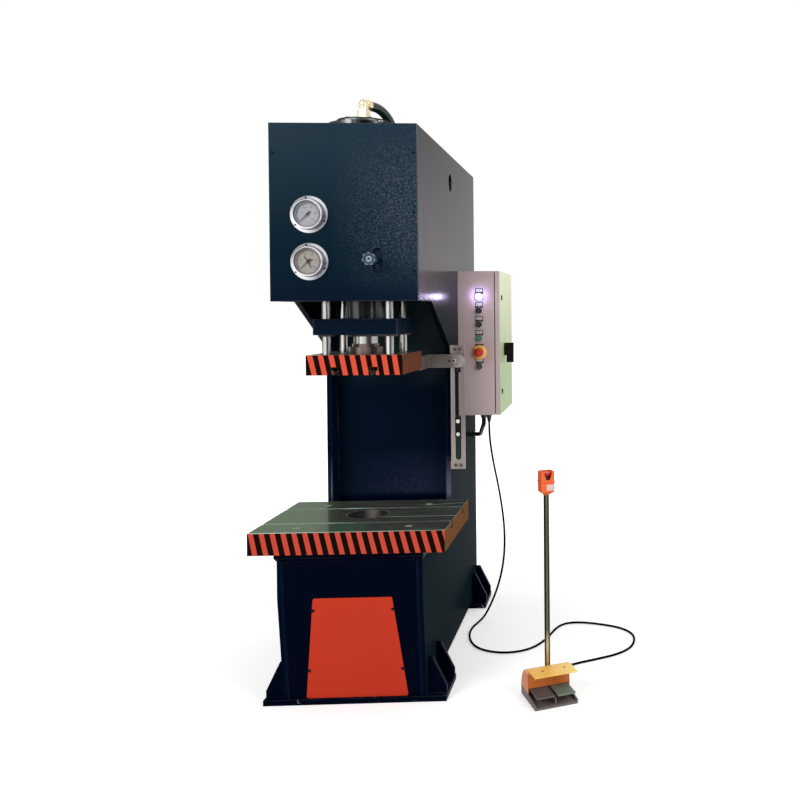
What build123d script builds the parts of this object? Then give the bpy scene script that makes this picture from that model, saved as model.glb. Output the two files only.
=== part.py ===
from build123d import *
import math
import os

# C-frame hydraulic press with a guided platen, an electrical cabinet on its right side and a
# free-standing pedal unit. Millimetres. The origin is on the floor under the ram axis, +X is the
# press's right as seen by its operator, +Y points to the back and +Z up.

os.makedirs("parts", exist_ok=True)

# Clearances
running_gap = 0.05
hole_gap = 0.5
loose_gap = 0.3

# Frame
frame_width = 500.0
side_plate = 20.0
frame_height = 2037.0
foot_plate = 20.0
head_front_y = -275.0
head_height = 611.0
head_plate = 12.0
throat_start_y = -35.0
throat_rise = 185.0
throat_fillet = 18.0
column_front_y = 342.0
web_recess = 80.0
web_plate = 12.0
web_overlap = 134.0
lifting_y = 383.0
lifting_drop = 116.0
lifting_r = 37.0

# Bed and table
table_top_z = 631.0
table_width = 670.0
table_front_y = -284.0
table_depth = 527.0
table_thickness = 76.0
table_bore_r = 74.0
slot_neck = 18.0
slot_neck_depth = 15.0
slot_tee = 30.0
slot_tee_depth = 14.0
table_slot_pitch = 244.0
table_bolt_x = 195.0
table_bolt_pitch_y = 371.0
bed_plate = 32.0
bed_plate_overhang = 6.0
bed_plate_lip = 13.0
bed_plate_taper = 14.0
bed_front_y = -245.0
bed_break_z = 394.0
bed_lean = 58.0
bed_front_plate = 12.0
bed_front_recess = 3.0

# Red front cover
cover_top_half = 136.0
cover_bottom_half = 178.0
cover_top_z = 392.0
cover_bottom_z = 21.5
cover_sheet = 3.0
cover_shift = 7.0
cover_corner_r = 7.0
cover_margin = 24.0
cover_screw_zs = (348.0, 126.0)
cover_screw_inset = 4.0
cover_notch_r = 4.0

# Feet
foot_reach = 320.0
front_foot_start_y = -197.0
front_foot_length = 205.0
rear_foot_length = 207.0
gusset_thickness = 18.0
gusset_height = 147.0
gusset_tip_z = 45.0
gusset_top_flat = 18.0
gusset_tip_inset = 2.0
front_gusset_offsets = (25.0, 180.0)
rear_gusset_offsets = (47.0, 187.0)
anchor_x = 292.0
anchor_r = 11.0

# Bolts
bolt_r = 8.0
bolt_head_r = 12.0
bolt_head_height = 12.0
bolt_socket_r = 7.0
bolt_socket_depth = 7.0
screw_r = 4.0
screw_head_r = 7.0
screw_head_height = 4.0
panel_screw_r = 3.0
panel_screw_head_r = 5.0
panel_screw_head_height = 3.0
head_screw_inset = 12.0
head_screw_count = 3

# Cylinder and its guide
barrel_r = 80.0
bore_r = 62.5
ring_r = 128.0
ring_height = 22.0
barrel_flange = 20.0
flange_bolt_r = 112.0
flange_bolt_count = 6
flange_bolt_start = 16.0
flange_bolt_sink = 7.0
cap_r = 99.0
cap_height = 17.0
cap_spigot = 20.0
cap_bolt_r = 80.0
cap_bolt_count = 6
guide_width = 300.0
guide_depth = 294.0
guide_drop = 62.0
guide_thickness = 58.0
guide_chamfer = 4.0
gland_r = 60.0
gland_flange_r = 72.0
gland_flange = 8.0
gland_spigot = 26.0
bushing_r = 25.0
bushing_flange_r = 30.0
bushing_flange = 6.0

# Slide
ram_r = 45.0
piston_height = 50.0
piston_top_gap = 15.0
platen_width = 340.0
platen_depth = 328.0
platen_thickness = 72.0
platen_drop = 143.0
platen_centre_y = 1.0
platen_slot_x = 67.0
ram_flange_r = 62.0
ram_flange = 24.0
ram_collar_r = 50.0
ram_collar = 12.0
flange_screw_circle = 55.5
flange_screw_count = 6
rod_r = 15.0
rod_x = 112.0
rod_y = 110.0
rod_seat = 30.0
rod_length = 595.0

# Trip arm and limit bar
arm_plate = 8.0
arm_drop = 5.0
arm_height = 54.0
arm_front_y = 312.0
arm_reach_x = 315.0
arm_foot = 55.0
arm_hole_x = 251.0
arm_hole_r = 4.5
trip_bolt_x = 272.0
trip_bolt_r = 5.0
limit_bar_x = 254.0
limit_bar_width = 57.0
limit_bar_plate = 6.0
limit_bar_back_gap = 6.0
limit_bar_rise = 108.0
limit_bar_over_arm = 90.0
limit_slot = 24.8
limit_slot_margin = 37.0
bar_hole_half_pitch = 10.0
bar_hole_inset = 16.0
bracket_height = 30.0
bracket_length = 48.0
switch_width = 40.0
switch_height = 80.0
switch_depth = 25.0
switch_bolt_half_pitch = 27.0
switch_head_r = 8.0
switch_head_height = 5.0
switch_shank_r = 4.5
lower_switch_rise = 170.0
upper_switch_drop = 72.0

# Elbow and top hose
hose_r = 18.0
elbow_hex = 42.0
elbow_hex_height = 44.0
elbow_r = 17.0
elbow_height = 65.0
elbow_reach = 30.0
elbow_heading = 62.0
ferrule_wall = 2.0
hose_drop = 165.0
hose_hole_gap = 4.0
hose_bend = 110.0
hose_low_drop = 87.0
hose_falls = (75.0, 165.0, 235.0)
hose_side_reaches = (60.0, 50.0)
hose_front_gap = 100.0

# Pressure gauges
gauge_x = -116.0
gauge_drops = (313.5, 475.0)
gauge_flange_r = 64.0
gauge_flange = 3.0
bezel_r = 51.0
bezel_depth = 28.0
bezel_lip_r = 44.0
bezel_lip = 3.0
gauge_bore_r = 46.5
gauge_case_r = 50.0
gauge_case_depth = 60.0
gauge_glass = 2.5
dial_sheet = 1.5
dial_depth = 14.0
dial_pin_r = 1.5
dial_pin = 5.5
needle_hub_r = 4.0
needle_hub = 5.0
needle_length = 33.0
needle_tail = 12.0
needle_sheet = 1.0
needle_width = 4.0
gauge_screw_circle = 58.0
gauge_screw_angles = (100.0, 218.0, 336.0)
gauge_screw_r = 3.0
gauge_screw_head = 3.0
needle_rests = (225.0, 225.0)

# Throttle valve
valve_x = 113.0
valve_drop = 472.0
valve_slot_width = 34.0
valve_slot_height = 89.0
valve_block = 104.0
valve_block_depth = 105.0
valve_boss_r = 13.0
valve_boss_length = 68.0
valve_stem_r = 6.0
valve_stem_seat = 48.0
knob_r = 22.0
knob_thickness = 16.0
knob_lobes = 7
knob_lobe_r = 6.5
knob_face_y = -393.0

# Electrical cabinet
cabinet_width = 156.0
cabinet_front_y = 549.0
cabinet_length = 466.0
cabinet_bottom_z = 935.0
cabinet_height = 627.0
cabinet_sheet = 2.5
cabinet_lip = 15.0
door_gap = 4.0
door_thickness = 20.0
door_overhang = 12.0
hinge_pin_r = 3.0
hinge_knuckle_r = 7.0
hinge_knuckle = 20.0
hinge_offset_y = 9.0
hinge_zs = (1062.0, 1435.0)
hinge_arm = 10.0
hinge_base = 20.0
lock_y = 613.0
lock_zs = (1446.0, 1033.0)
lock_shaft_r = 8.0
lock_head_r = 11.0
lock_head = 4.0
lock_cam_length = 42.0
lock_cam_width = 14.0
lock_cam = 3.0
handle_y = 720.0
handle_z = 1215.0
handle_disc_r = 29.0
handle_disc = 10.0
handle_grip_width = 22.0
handle_grip_height = 30.0
handle_grip_drop = 60.0

# Control devices on the cabinet's front
device_x = 341.5
device_drop = 111.0
device_pitch = 60.5
device_shaft_r = 8.0
device_hole_r = 11.0
device_collar_r = 15.0
device_collar = 8.0
device_nut_r = 14.0
device_nut = 6.0
device_body = 16.0
legend_width = 34.0
legend_height = 24.0
legend_sheet = 1.2
legend_offset = 12.0
knob_head_r = 12.5
knob_head = 7.0
grip_width = 8.0
grip_depth = 10.0
button_head_r = 11.5
button_head = 6.0
button_recess = 6.0
button_travel = 4.0
stop_ring_r = 31.0
stop_ring = 2.0
stop_head_r = 19.5
stop_head = 12.0
stop_neck_r = 9.0
stop_travel = 5.0
lamp_r = 12.0
lamp_height = 12.0

# Glands, conduit and pedal cable
cable_r = 4.5
gland_body_r = 13.0
gland_nut = 12.0
gland_taper = 33.0
gland_thread = 9.0
conduit_r = 9.5
conduit_gland_r = 17.0
conduit_gland_drop = 20.0
conduit_x = 334.0
conduit_y = 720.0
conduit_end_y = 953.0
conduit_end_z = 799.0
conduit_collar = 9.0
conduit_bend = 26.0
cable_lead = 50.0
cable_x = 364.0
cable_y = 675.0

# Inside the cabinet and the column
gear_plate = 2.0
gear_standoff = 10.0
gear_standoff_r = 6.0
gear_margin = 30.0
gear_rows = 3
gear_row_drops = (110.0, 270.0, 450.0)
gear_unit_heights = (85.0, 95.0, 110.0)
gear_unit_depths = (50.0, 70.0, 60.0)
gear_unit_counts = (6, 4, 8)
gear_unit_widths = (48.0, 74.0, 32.0)
gear_unit_gap = 4.0
gear_row_inset = 20.0
gear_chamfer = 3.0
tank_width = 440.0
tank_front_gap = 26.0
tank_back_gap = 16.0
tank_length = 540.0
tank_height = 640.0
tank_sheet = 4.0
motor_r = 100.0
motor_height = 300.0
motor_flange_r = 130.0
motor_flange = 18.0
motor_fins = 16
motor_fin = 12.0
pump_r = 55.0
pump_drop = 180.0

# Pedal unit, in its own axes: u to the right, v to the back
pedal_x = 643.0
pedal_y = -304.0
pedal_turn = 21.5
pedal_width = 156.0
pedal_depth = 174.0
pedal_floor = 8.0
pedal_wall = 5.0
pedal_front_z = 16.0
pedal_back_z = 34.0
pedal_rib_start = 10.0
pedal_rib_end = 92.0
pedal_rib_z = 30.0
axle_v = 105.0
axle_z = 31.0
axle_r = 4.0
tread_hub_r = 7.5
tread_sheet = 5.0
tread_top_z = 42.0
tread_side_gap = 3.0
tread_rib = 1.5
tread_rib_pitch = 10.0
guard_top_z = 115.0
guard_round_v = 71.0
guard_sheet = 4.0
guard_wall_v = 90.0
guard_wall_gap = 2.0
post_u = 86.0
post_v = 128.0
post_r = 10.0
post_wall = 2.0
post_top_z = 722.0
post_boss_r = 16.0
post_boss_z = 60.0
stop_box_side = 50.0
stop_box_bottom_z = 735.0
stop_box_height = 74.0
stop_box_rim = 2.0
stop_box_rim_z = 770.0
stop_shroud = 4.0
stop_floor_z = 774.0
stop_notch_z = 779.0
stop_notch_bottom = 7.0
stop_notch_top = 17.0
stop_base_r = 14.0
stop_base_z = 787.0
post_button_r = 17.0
post_button = 12.0
post_button_shaft_r = 6.0
post_button_shaft = 20.0
post_button_travel = 5.0
pedal_gland_u = 110.0
pedal_gland_z = 20.0

# Derived places
half_width = frame_width / 2
inner_x = half_width - side_plate
head_back_y = head_front_y + head_plate
table_bottom_z = table_top_z - table_thickness
bed_plate_bottom_z = table_bottom_z - bed_plate
table_centre_y = table_front_y + table_depth / 2
head_bottom_z = frame_height - head_height
throat_corner_z = head_bottom_z - throat_rise
lifting_z = frame_height - lifting_drop
web_y = column_front_y + web_recess
web_top_z = head_bottom_z + web_overlap
tank_front_y = web_y + web_plate + tank_front_gap
tank_back_y = tank_front_y + tank_length
tank_top_z = foot_plate + tank_height
frame_back_y = tank_back_y + tank_back_gap + side_plate
lean_angle = math.degrees(math.atan2(bed_lean, bed_break_z))
lean_cos = math.cos(math.radians(lean_angle))
guide_top_z = head_bottom_z - guide_drop
guide_bottom_z = guide_top_z - guide_thickness
ring_top_z = frame_height + ring_height
barrel_top_z = ring_top_z + barrel_flange
cap_top_z = barrel_top_z + cap_height
platen_bottom_z = guide_bottom_z - platen_drop
platen_top_z = platen_bottom_z + platen_thickness
arm_bottom_z = platen_bottom_z - arm_drop
platen_front_y = platen_centre_y - platen_depth / 2
platen_back_y = platen_centre_y + platen_depth / 2
rod_places = [(x, y) for x in (-rod_x, rod_x) for y in (-rod_y, rod_y)]
table_bolts = [
    (x, table_centre_y + y)
    for x in (-table_bolt_x, table_bolt_x)
    for y in (-table_bolt_pitch_y / 2, table_bolt_pitch_y / 2)
]
rear_foot_start_y = frame_back_y - rear_foot_length
limit_bar_y = column_front_y - limit_bar_back_gap - limit_bar_plate
limit_bar_z = table_top_z + limit_bar_rise
limit_bar_top_z = arm_bottom_z + limit_bar_over_arm
switch_zs = (limit_bar_z + lower_switch_rise, limit_bar_top_z - upper_switch_drop)
hose_low_z = frame_height - hose_low_drop
gauge_zs = [frame_height - drop for drop in gauge_drops]
valve_z = frame_height - valve_drop
limit_bar_centre_x = limit_bar_x + limit_bar_width / 2
cabinet_right_x = half_width + cabinet_width
cabinet_back_y = cabinet_front_y + cabinet_length
cabinet_top_z = cabinet_bottom_z + cabinet_height
device_top_z = cabinet_top_z - device_drop
door_inner_x = cabinet_right_x + door_gap
door_outer_x = door_inner_x + door_thickness
door_back_y = cabinet_back_y + door_overhang
hinge_x = door_inner_x + door_thickness / 2
hinge_y = door_back_y + hinge_offset_y
pedal_place = Location((pedal_x, pedal_y, 0), (0, 0, pedal_turn))


def block(x0, x1, y0, y1, z0, z1):
    """Box between two opposite corners."""
    centre = ((x0 + x1) / 2, (y0 + y1) / 2, (z0 + z1) / 2)
    return Pos(*centre) * Box(abs(x1 - x0), abs(y1 - y0), abs(z1 - z0))


def rod_along_z(radius, x, y, z0, z1):
    return Pos(x, y, (z0 + z1) / 2) * Cylinder(radius, abs(z1 - z0))


def rod_along_y(radius, x, z, y0, y1):
    return Pos(x, (y0 + y1) / 2, z) * Rot(90, 0, 0) * Cylinder(radius, abs(y1 - y0))


def rod_along_x(radius, y, z, x0, x1):
    return Pos((x0 + x1) / 2, y, z) * Rot(0, 90, 0) * Cylinder(radius, abs(x1 - x0))


def profile_along_x(points, x0, x1):
    """Extrude a (y, z) outline between two x planes."""
    return extrude(Plane.YZ.offset(x0) * Polygon(*points, align=None), x1 - x0, dir=(1, 0, 0))


def profile_along_y(points, y0, y1):
    """Extrude an (x, z) outline between two y planes."""
    return extrude(Plane.XZ.offset(-y0) * Polygon(*points, align=None), y1 - y0, dir=(0, 1, 0))


def turned(points, x=0, y=0):
    """Revolve an (r, z) outline about a vertical axis."""
    return Pos(x, y, 0) * revolve(Plane.XZ * Polygon(*points, align=None), Axis.Z)


def turned_along_y(points, x, z):
    """Revolve an (r, y) outline about an axis along Y through (x, z)."""
    return Pos(x, 0, z) * revolve(Polygon(*points, align=None), Axis.Y)


def save(name, *shapes):
    """Write the solids of all the shapes as one node."""
    solids = [solid for shape in shapes for solid in shape.solids()]
    export_step(solids[0] if len(solids) == 1 else Compound(solids), f"parts/{name}.step")


def front_edge_y(z):
    """Front edge of the side plates at a height: upright, then leaning back to the floor."""
    return bed_front_y + bed_lean * max(0.0, bed_break_z - z) / bed_break_z


def side_plate_part(side):
    outline = Polygon(
        (frame_back_y, foot_plate),
        (front_edge_y(foot_plate), foot_plate),
        (bed_front_y, bed_break_z),
        (bed_front_y, bed_plate_bottom_z),
        (column_front_y, bed_plate_bottom_z),
        (column_front_y, throat_corner_z),
        (throat_start_y, head_bottom_z),
        (head_back_y, head_bottom_z),
        (head_back_y, frame_height),
        (frame_back_y, frame_height),
        align=None,
    )
    throat = [
        corner
        for corner in outline.vertices()
        if math.isclose(corner.Y, throat_corner_z) or math.isclose(corner.X, throat_start_y)
    ]
    outline = fillet(throat, throat_fillet)
    outer, inner = side * half_width, side * inner_x
    plate = extrude(Plane.YZ.offset(min(outer, inner)) * outline, side_plate, dir=(1, 0, 0))
    return plate - rod_along_x(lifting_r, lifting_y, lifting_z, outer + side, inner - side)


def head_screw_places():
    step = (frame_height - head_bottom_z) / head_screw_count
    zs = [head_bottom_z + step * (n + 0.5) for n in range(head_screw_count)]
    return [(side * (half_width - head_screw_inset), z) for side in (-1, 1) for z in zs]


def head_front_plate():
    plate = block(-half_width, half_width, head_front_y, head_back_y, head_bottom_z, frame_height)
    for z in gauge_zs:
        plate -= rod_along_y(gauge_case_r + hole_gap, gauge_x, z, head_front_y - 1, head_back_y + 1)
    slot = Pos(valve_x, valve_z) * Rot(0, 0, 90) * SlotOverall(valve_slot_height, valve_slot_width)
    plate -= extrude(Plane.XZ.offset(-head_back_y - 1) * slot, head_plate + 2)
    for x, z in head_screw_places():
        plate -= rod_along_y(panel_screw_r + hole_gap, x, z, head_front_y - 1, head_back_y + 1)
    return plate


def top_plate():
    plate = block(-inner_x, inner_x, head_back_y, frame_back_y - side_plate,
                  frame_height - side_plate, frame_height)
    plate += rod_along_z(ring_r, 0, 0, frame_height, ring_top_z)
    plate -= rod_along_z(barrel_r + hole_gap, 0, 0, frame_height - side_plate - 1, ring_top_z + 1)
    for x, y in flange_bolt_places():
        plate -= rod_along_z(bolt_r + hole_gap, x, y, frame_height - side_plate - 1, ring_top_z + 1)
    x, y = hose_point(hose_drop)
    hole_r = hose_r + hose_hole_gap
    return plate - rod_along_z(hole_r, x, y, frame_height - side_plate - 1, frame_height + 1)


def flange_bolt_places():
    step = 360 / flange_bolt_count
    turns = [math.radians(flange_bolt_start + step * n) for n in range(flange_bolt_count)]
    return [(flange_bolt_r * math.cos(t), flange_bolt_r * math.sin(t)) for t in turns]


def back_plate():
    return block(-inner_x, inner_x, frame_back_y - side_plate, frame_back_y,
                 foot_plate, frame_height)


def column_web():
    return block(-inner_x, inner_x, web_y, web_y + web_plate, table_bottom_z, web_top_z)


def bed_top_plate():
    """Plate under the table: a wide lip that tapers in to the side plates below it."""
    reach = half_width + bed_plate_overhang
    front = bed_front_y - bed_plate_lip
    taper_top_z = bed_plate_bottom_z + bed_plate_taper
    plate = block(-reach, reach, front, column_front_y, taper_top_z, table_bottom_z)
    depth = column_front_y - bed_front_y
    narrow = Pos(0, column_front_y - depth / 2, bed_plate_bottom_z) * Rectangle(frame_width, depth)
    depth += bed_plate_lip
    wide = Pos(0, column_front_y - depth / 2, taper_top_z) * Rectangle(2 * reach, depth)
    plate += loft([narrow, wide], ruled=True)
    plate += block(-inner_x, inner_x, column_front_y, web_y + web_plate,
                   bed_plate_bottom_z, table_bottom_z)
    plate -= rod_along_z(table_bore_r, 0, 0, bed_plate_bottom_z - 1, table_bottom_z + 1)
    for x, y in table_bolts:
        plate -= rod_along_z(bolt_r + hole_gap, x, y, bed_plate_bottom_z - 1, table_bottom_z + 1)
    return plate


# The leaning plane of the front cover: its local x runs across and its local y up the plate.
cover_plane = Plane(
    origin=(cover_shift, bed_front_y + bed_front_recess, bed_break_z),
    x_dir=(1, 0, 0),
    z_dir=(0, -math.cos(math.radians(lean_angle)), -math.sin(math.radians(lean_angle))),
)


def cover_y(z):
    """Distance along the leaning plane from its break to a height, negative downwards."""
    return (z - bed_break_z) / lean_cos


def cover_half(z):
    share = (cover_top_z - z) / (cover_top_z - cover_bottom_z)
    return cover_top_half + share * (cover_bottom_half - cover_top_half)


def cover_outline(margin):
    top, bottom = cover_top_z - margin, cover_bottom_z + margin
    outline = Polygon(
        (-cover_half(bottom) + margin, cover_y(bottom)),
        (cover_half(bottom) - margin, cover_y(bottom)),
        (cover_half(top) - margin, cover_y(top)),
        (-cover_half(top) + margin, cover_y(top)),
        align=None,
    )
    return fillet(outline.vertices(), cover_corner_r)


def cover_screw_places():
    return [
        (side * (cover_half(z) - cover_screw_inset), cover_y(z))
        for side in (-1, 1)
        for z in cover_screw_zs
    ]


def bed_front_plate_part():
    outer = bed_front_y + bed_front_recess
    foot_y = front_edge_y(foot_plate) + bed_front_recess
    plate = profile_along_x(
        [
            (foot_y, foot_plate),
            (outer, bed_break_z),
            (outer, bed_plate_bottom_z),
            (outer + bed_front_plate, bed_plate_bottom_z),
            (outer + bed_front_plate, bed_break_z),
            (foot_y + bed_front_plate, foot_plate),
        ],
        -inner_x,
        inner_x,
    )
    plate -= extrude(cover_plane * cover_outline(cover_margin), 2 * bed_front_plate, both=True)
    for x, y in cover_screw_places():
        plate -= cover_plane * Pos(x, y, 0) * Cylinder(panel_screw_r + hole_gap, 4 * bed_front_plate)
    return plate


def front_cover():
    cover = extrude(cover_plane * cover_outline(0), cover_sheet)
    for x, y in cover_screw_places():
        cover -= cover_plane * Pos(x, y, 0) * Cylinder(cover_notch_r, 4 * cover_sheet)
    return cover


def frame_screws():
    shank = head_plate + cover_sheet
    screws = []
    for x, y in cover_screw_places():
        head = Cylinder(panel_screw_head_r, panel_screw_head_height)
        head = Pos(x, y, cover_sheet + panel_screw_head_height / 2) * head
        shaft = Pos(x, y, cover_sheet - shank / 2) * Cylinder(panel_screw_r, shank)
        screws.append(cover_plane * (head + shaft))
    for x, z in head_screw_places():
        top = head_front_y - panel_screw_head_height
        head = rod_along_y(panel_screw_head_r, x, z, top, head_front_y)
        screws.append(head + rod_along_y(panel_screw_r, x, z, head_front_y, head_back_y))
    for z in (limit_bar_z + bar_hole_inset, limit_bar_top_z - bar_hole_inset):
        for side in (-1, 1):
            x = limit_bar_centre_x + side * bar_hole_half_pitch
            head = rod_along_y(screw_head_r, x, z, limit_bar_y - screw_head_height, limit_bar_y)
            back = limit_bar_y + limit_bar_plate + limit_bar_back_gap
            screws.append(head + rod_along_y(screw_r, x, z, limit_bar_y, back))
    return screws


def foot(start_y, length, gusset_offsets):
    """Cross plate on the floor with two triangular gussets on each side of the body."""
    plate = block(-foot_reach, foot_reach, start_y, start_y + length, 0, foot_plate)
    tip = foot_reach - gusset_tip_inset
    for side in (-1, 1):
        outline = [
            (side * half_width, foot_plate),
            (side * tip, foot_plate),
            (side * tip, gusset_tip_z),
            (side * (half_width + gusset_top_flat), gusset_height),
            (side * half_width, gusset_height),
        ]
        for offset in gusset_offsets:
            start = start_y + offset
            plate += profile_along_y(outline, start, start + gusset_thickness)
        middle = start_y + (gusset_offsets[0] + gusset_offsets[1] + gusset_thickness) / 2
        plate -= rod_along_z(anchor_r, side * anchor_x, middle, -1, foot_plate + 1)
    return plate


def tee_slot_outline(centre, face_z, into):
    """T-slot cross-section: (across, height), cut from a face in the direction into."""
    neck, tee = slot_neck / 2, slot_tee / 2
    mouth = face_z - into
    shelf = face_z + into * slot_neck_depth
    floor = shelf + into * slot_tee_depth
    return [
        (centre - neck, mouth),
        (centre - neck, shelf),
        (centre - tee, shelf),
        (centre - tee, floor),
        (centre + tee, floor),
        (centre + tee, shelf),
        (centre + neck, shelf),
        (centre + neck, mouth),
    ]


def table():
    half = table_width / 2
    plate = block(-half, half, table_front_y, table_front_y + table_depth, table_bottom_z, table_top_z)
    for side in (-1, 1):
        centre = table_centre_y + side * table_slot_pitch / 2
        plate -= profile_along_x(tee_slot_outline(centre, table_top_z, -1), -half - 1, half + 1)
    plate -= rod_along_z(table_bore_r, 0, 0, table_bottom_z - 1, table_top_z + 1)
    for x, y in table_bolts:
        plate -= rod_along_z(bolt_r + hole_gap, x, y, table_bottom_z - 1, table_top_z + 1)
        plate -= rod_along_z(bolt_head_r + hole_gap, x, y,
                             table_top_z - bolt_head_height - 1, table_top_z + 1)
    return plate


def socket_bolt(x, y, seat_z, length):
    """Cap screw whose head stands on a seat, with a round stand-in for its socket."""
    bolt = rod_along_z(bolt_head_r, x, y, seat_z, seat_z + bolt_head_height)
    bolt += rod_along_z(bolt_r, x, y, seat_z - length, seat_z)
    hexagon = RegularPolygon(bolt_socket_r, 6)
    socket = extrude(Pos(x, y, seat_z + bolt_head_height - bolt_socket_depth) * hexagon, bolt_socket_depth)
    return bolt - socket


def socket_bolts():
    table_seat = table_top_z - bolt_head_height - 1
    table_length = table_seat - bed_plate_bottom_z
    bolts = [socket_bolt(x, y, table_seat, table_length) for x, y in table_bolts]
    flange_seat = barrel_top_z - flange_bolt_sink
    flange_length = flange_seat - frame_height
    return bolts + [socket_bolt(x, y, flange_seat, flange_length) for x, y in flange_bolt_places()]


def cylinder_barrel():
    barrel = turned(
        [
            (bore_r, guide_top_z),
            (barrel_r, guide_top_z),
            (barrel_r, ring_top_z),
            (ring_r, ring_top_z),
            (ring_r, barrel_top_z),
            (bore_r, barrel_top_z),
        ]
    )
    for x, y in flange_bolt_places():
        barrel -= rod_along_z(bolt_r + hole_gap, x, y, ring_top_z - 1, barrel_top_z + 1)
        seat = barrel_top_z - flange_bolt_sink
        barrel -= rod_along_z(bolt_head_r + hole_gap, x, y, seat, barrel_top_z + 1)
    return barrel


def cylinder_cap():
    cap = rod_along_z(cap_r, 0, 0, barrel_top_z, cap_top_z)
    cap = chamfer(cap.edges().group_by(Axis.Z)[-1], cap_height / 4)
    cap += rod_along_z(bore_r, 0, 0, barrel_top_z - cap_spigot, barrel_top_z)
    for n in range(cap_bolt_count):
        turn = math.radians(360 * n / cap_bolt_count)
        x, y = cap_bolt_r * math.cos(turn), cap_bolt_r * math.sin(turn)
        cap += rod_along_z(screw_head_r, x, y, cap_top_z, cap_top_z + screw_head_height)
    return cap - rod_along_z(elbow_r / 2, 0, 0, barrel_top_z - cap_spigot - 1, cap_top_z + 1)


def guide_block():
    plate = block(-guide_width / 2, guide_width / 2, -guide_depth / 2, guide_depth / 2,
                  guide_bottom_z, guide_top_z)
    plate = chamfer(plate.edges().filter_by(Axis.Z), guide_chamfer)
    plate -= rod_along_z(gland_r, 0, 0, guide_bottom_z - 1, guide_top_z + 1)
    for x, y in rod_places:
        plate -= rod_along_z(bushing_r, x, y, guide_bottom_z - 1, guide_top_z + 1)
    return plate


def slide_bearings():
    bushing_outline = [
        (rod_r + running_gap, guide_bottom_z - bushing_flange),
        (bushing_flange_r, guide_bottom_z - bushing_flange),
        (bushing_flange_r, guide_bottom_z),
        (bushing_r, guide_bottom_z),
        (bushing_r, guide_top_z),
        (rod_r + running_gap, guide_top_z),
    ]
    gland_outline = [
        (ram_r + running_gap, guide_bottom_z - gland_flange),
        (gland_flange_r, guide_bottom_z - gland_flange),
        (gland_flange_r, guide_bottom_z),
        (gland_r, guide_bottom_z),
        (gland_r, guide_top_z + gland_spigot),
        (ram_r + running_gap, guide_top_z + gland_spigot),
    ]
    return [turned(bushing_outline, x, y) for x, y in rod_places] + [turned(gland_outline)]


def ram():
    piston_top = barrel_top_z - cap_spigot - piston_top_gap
    piston_bottom = piston_top - piston_height
    return turned(
        [
            (0, platen_top_z),
            (ram_r, platen_top_z),
            (ram_r, piston_bottom),
            (bore_r - running_gap, piston_bottom),
            (bore_r - running_gap, piston_top),
            (0, piston_top),
        ]
    )


def flange_screw_places():
    turns = [math.radians(360 * n / flange_screw_count) for n in range(flange_screw_count)]
    return [(flange_screw_circle * math.cos(t), flange_screw_circle * math.sin(t)) for t in turns]


def ram_flange_part():
    top = platen_top_z + ram_flange
    flange = turned(
        [
            (ram_r, platen_top_z),
            (ram_flange_r, platen_top_z),
            (ram_flange_r, top),
            (ram_collar_r, top),
            (ram_collar_r, top + ram_collar),
            (ram_r, top + ram_collar),
        ]
    )
    for x, y in flange_screw_places():
        flange -= rod_along_z(screw_r - 1 + hole_gap, x, y, platen_top_z - 1, top + 1)
    return flange


def platen():
    half = platen_width / 2
    plate = block(-half, half, platen_front_y, platen_back_y, platen_bottom_z, platen_top_z)
    for side in (-1, 1):
        outline = tee_slot_outline(side * platen_slot_x, platen_bottom_z, 1)
        plate -= profile_along_y(outline, platen_front_y - 1, platen_back_y + 1)
    for x, y in rod_places:
        plate -= rod_along_z(rod_r, x, y, platen_top_z - rod_seat, platen_top_z + 1)
    for x, y in flange_screw_places():
        plate -= rod_along_z(screw_r - 1 + hole_gap, x, y, platen_top_z - rod_seat, platen_top_z + 1)
    for x, z in arm_screw_places():
        plate -= rod_along_y(screw_r + hole_gap, x, z, platen_back_y - rod_seat, platen_back_y + 1)
    return plate


def arm_screw_places():
    middle = (platen_bottom_z + arm_bottom_z + arm_height) / 2
    inner = platen_width / 2 - arm_foot
    return [(inner + arm_foot * share, middle) for share in (0.25, 0.65)]


def platen_fasteners():
    top = platen_top_z + ram_flange
    screws = []
    for x, y in flange_screw_places():
        head = rod_along_z(screw_head_r - 2, x, y, top, top + screw_head_height)
        screws.append(head + rod_along_z(screw_r - 1, x, y, platen_top_z - rod_seat, top))
    back = platen_back_y + arm_plate
    for x, z in arm_screw_places():
        head = rod_along_y(screw_head_r, x, z, back, back + screw_head_height)
        screws.append(head + rod_along_y(screw_r, x, z, platen_back_y - rod_seat, back))
    z = arm_bottom_z + arm_height / 2
    bolt = rod_along_y(trip_bolt_r, trip_bolt_x, z, arm_front_y, arm_front_y + arm_plate)
    bolt += rod_along_y(screw_head_r + 1, trip_bolt_x, z, arm_front_y - screw_head_height, arm_front_y)
    nut_end = arm_front_y + arm_plate + screw_head_height
    bolt += rod_along_y(screw_head_r, trip_bolt_x, z, arm_front_y + arm_plate, nut_end)
    return screws + [bolt]


def guide_rods():
    bottom = platen_top_z - rod_seat
    rods = []
    for x, y in rod_places:
        rod = rod_along_z(rod_r, x, y, bottom, bottom + rod_length)
        rods.append(chamfer(rod.edges().group_by(Axis.Z)[-1], rod_r / 8))
    return rods


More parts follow.
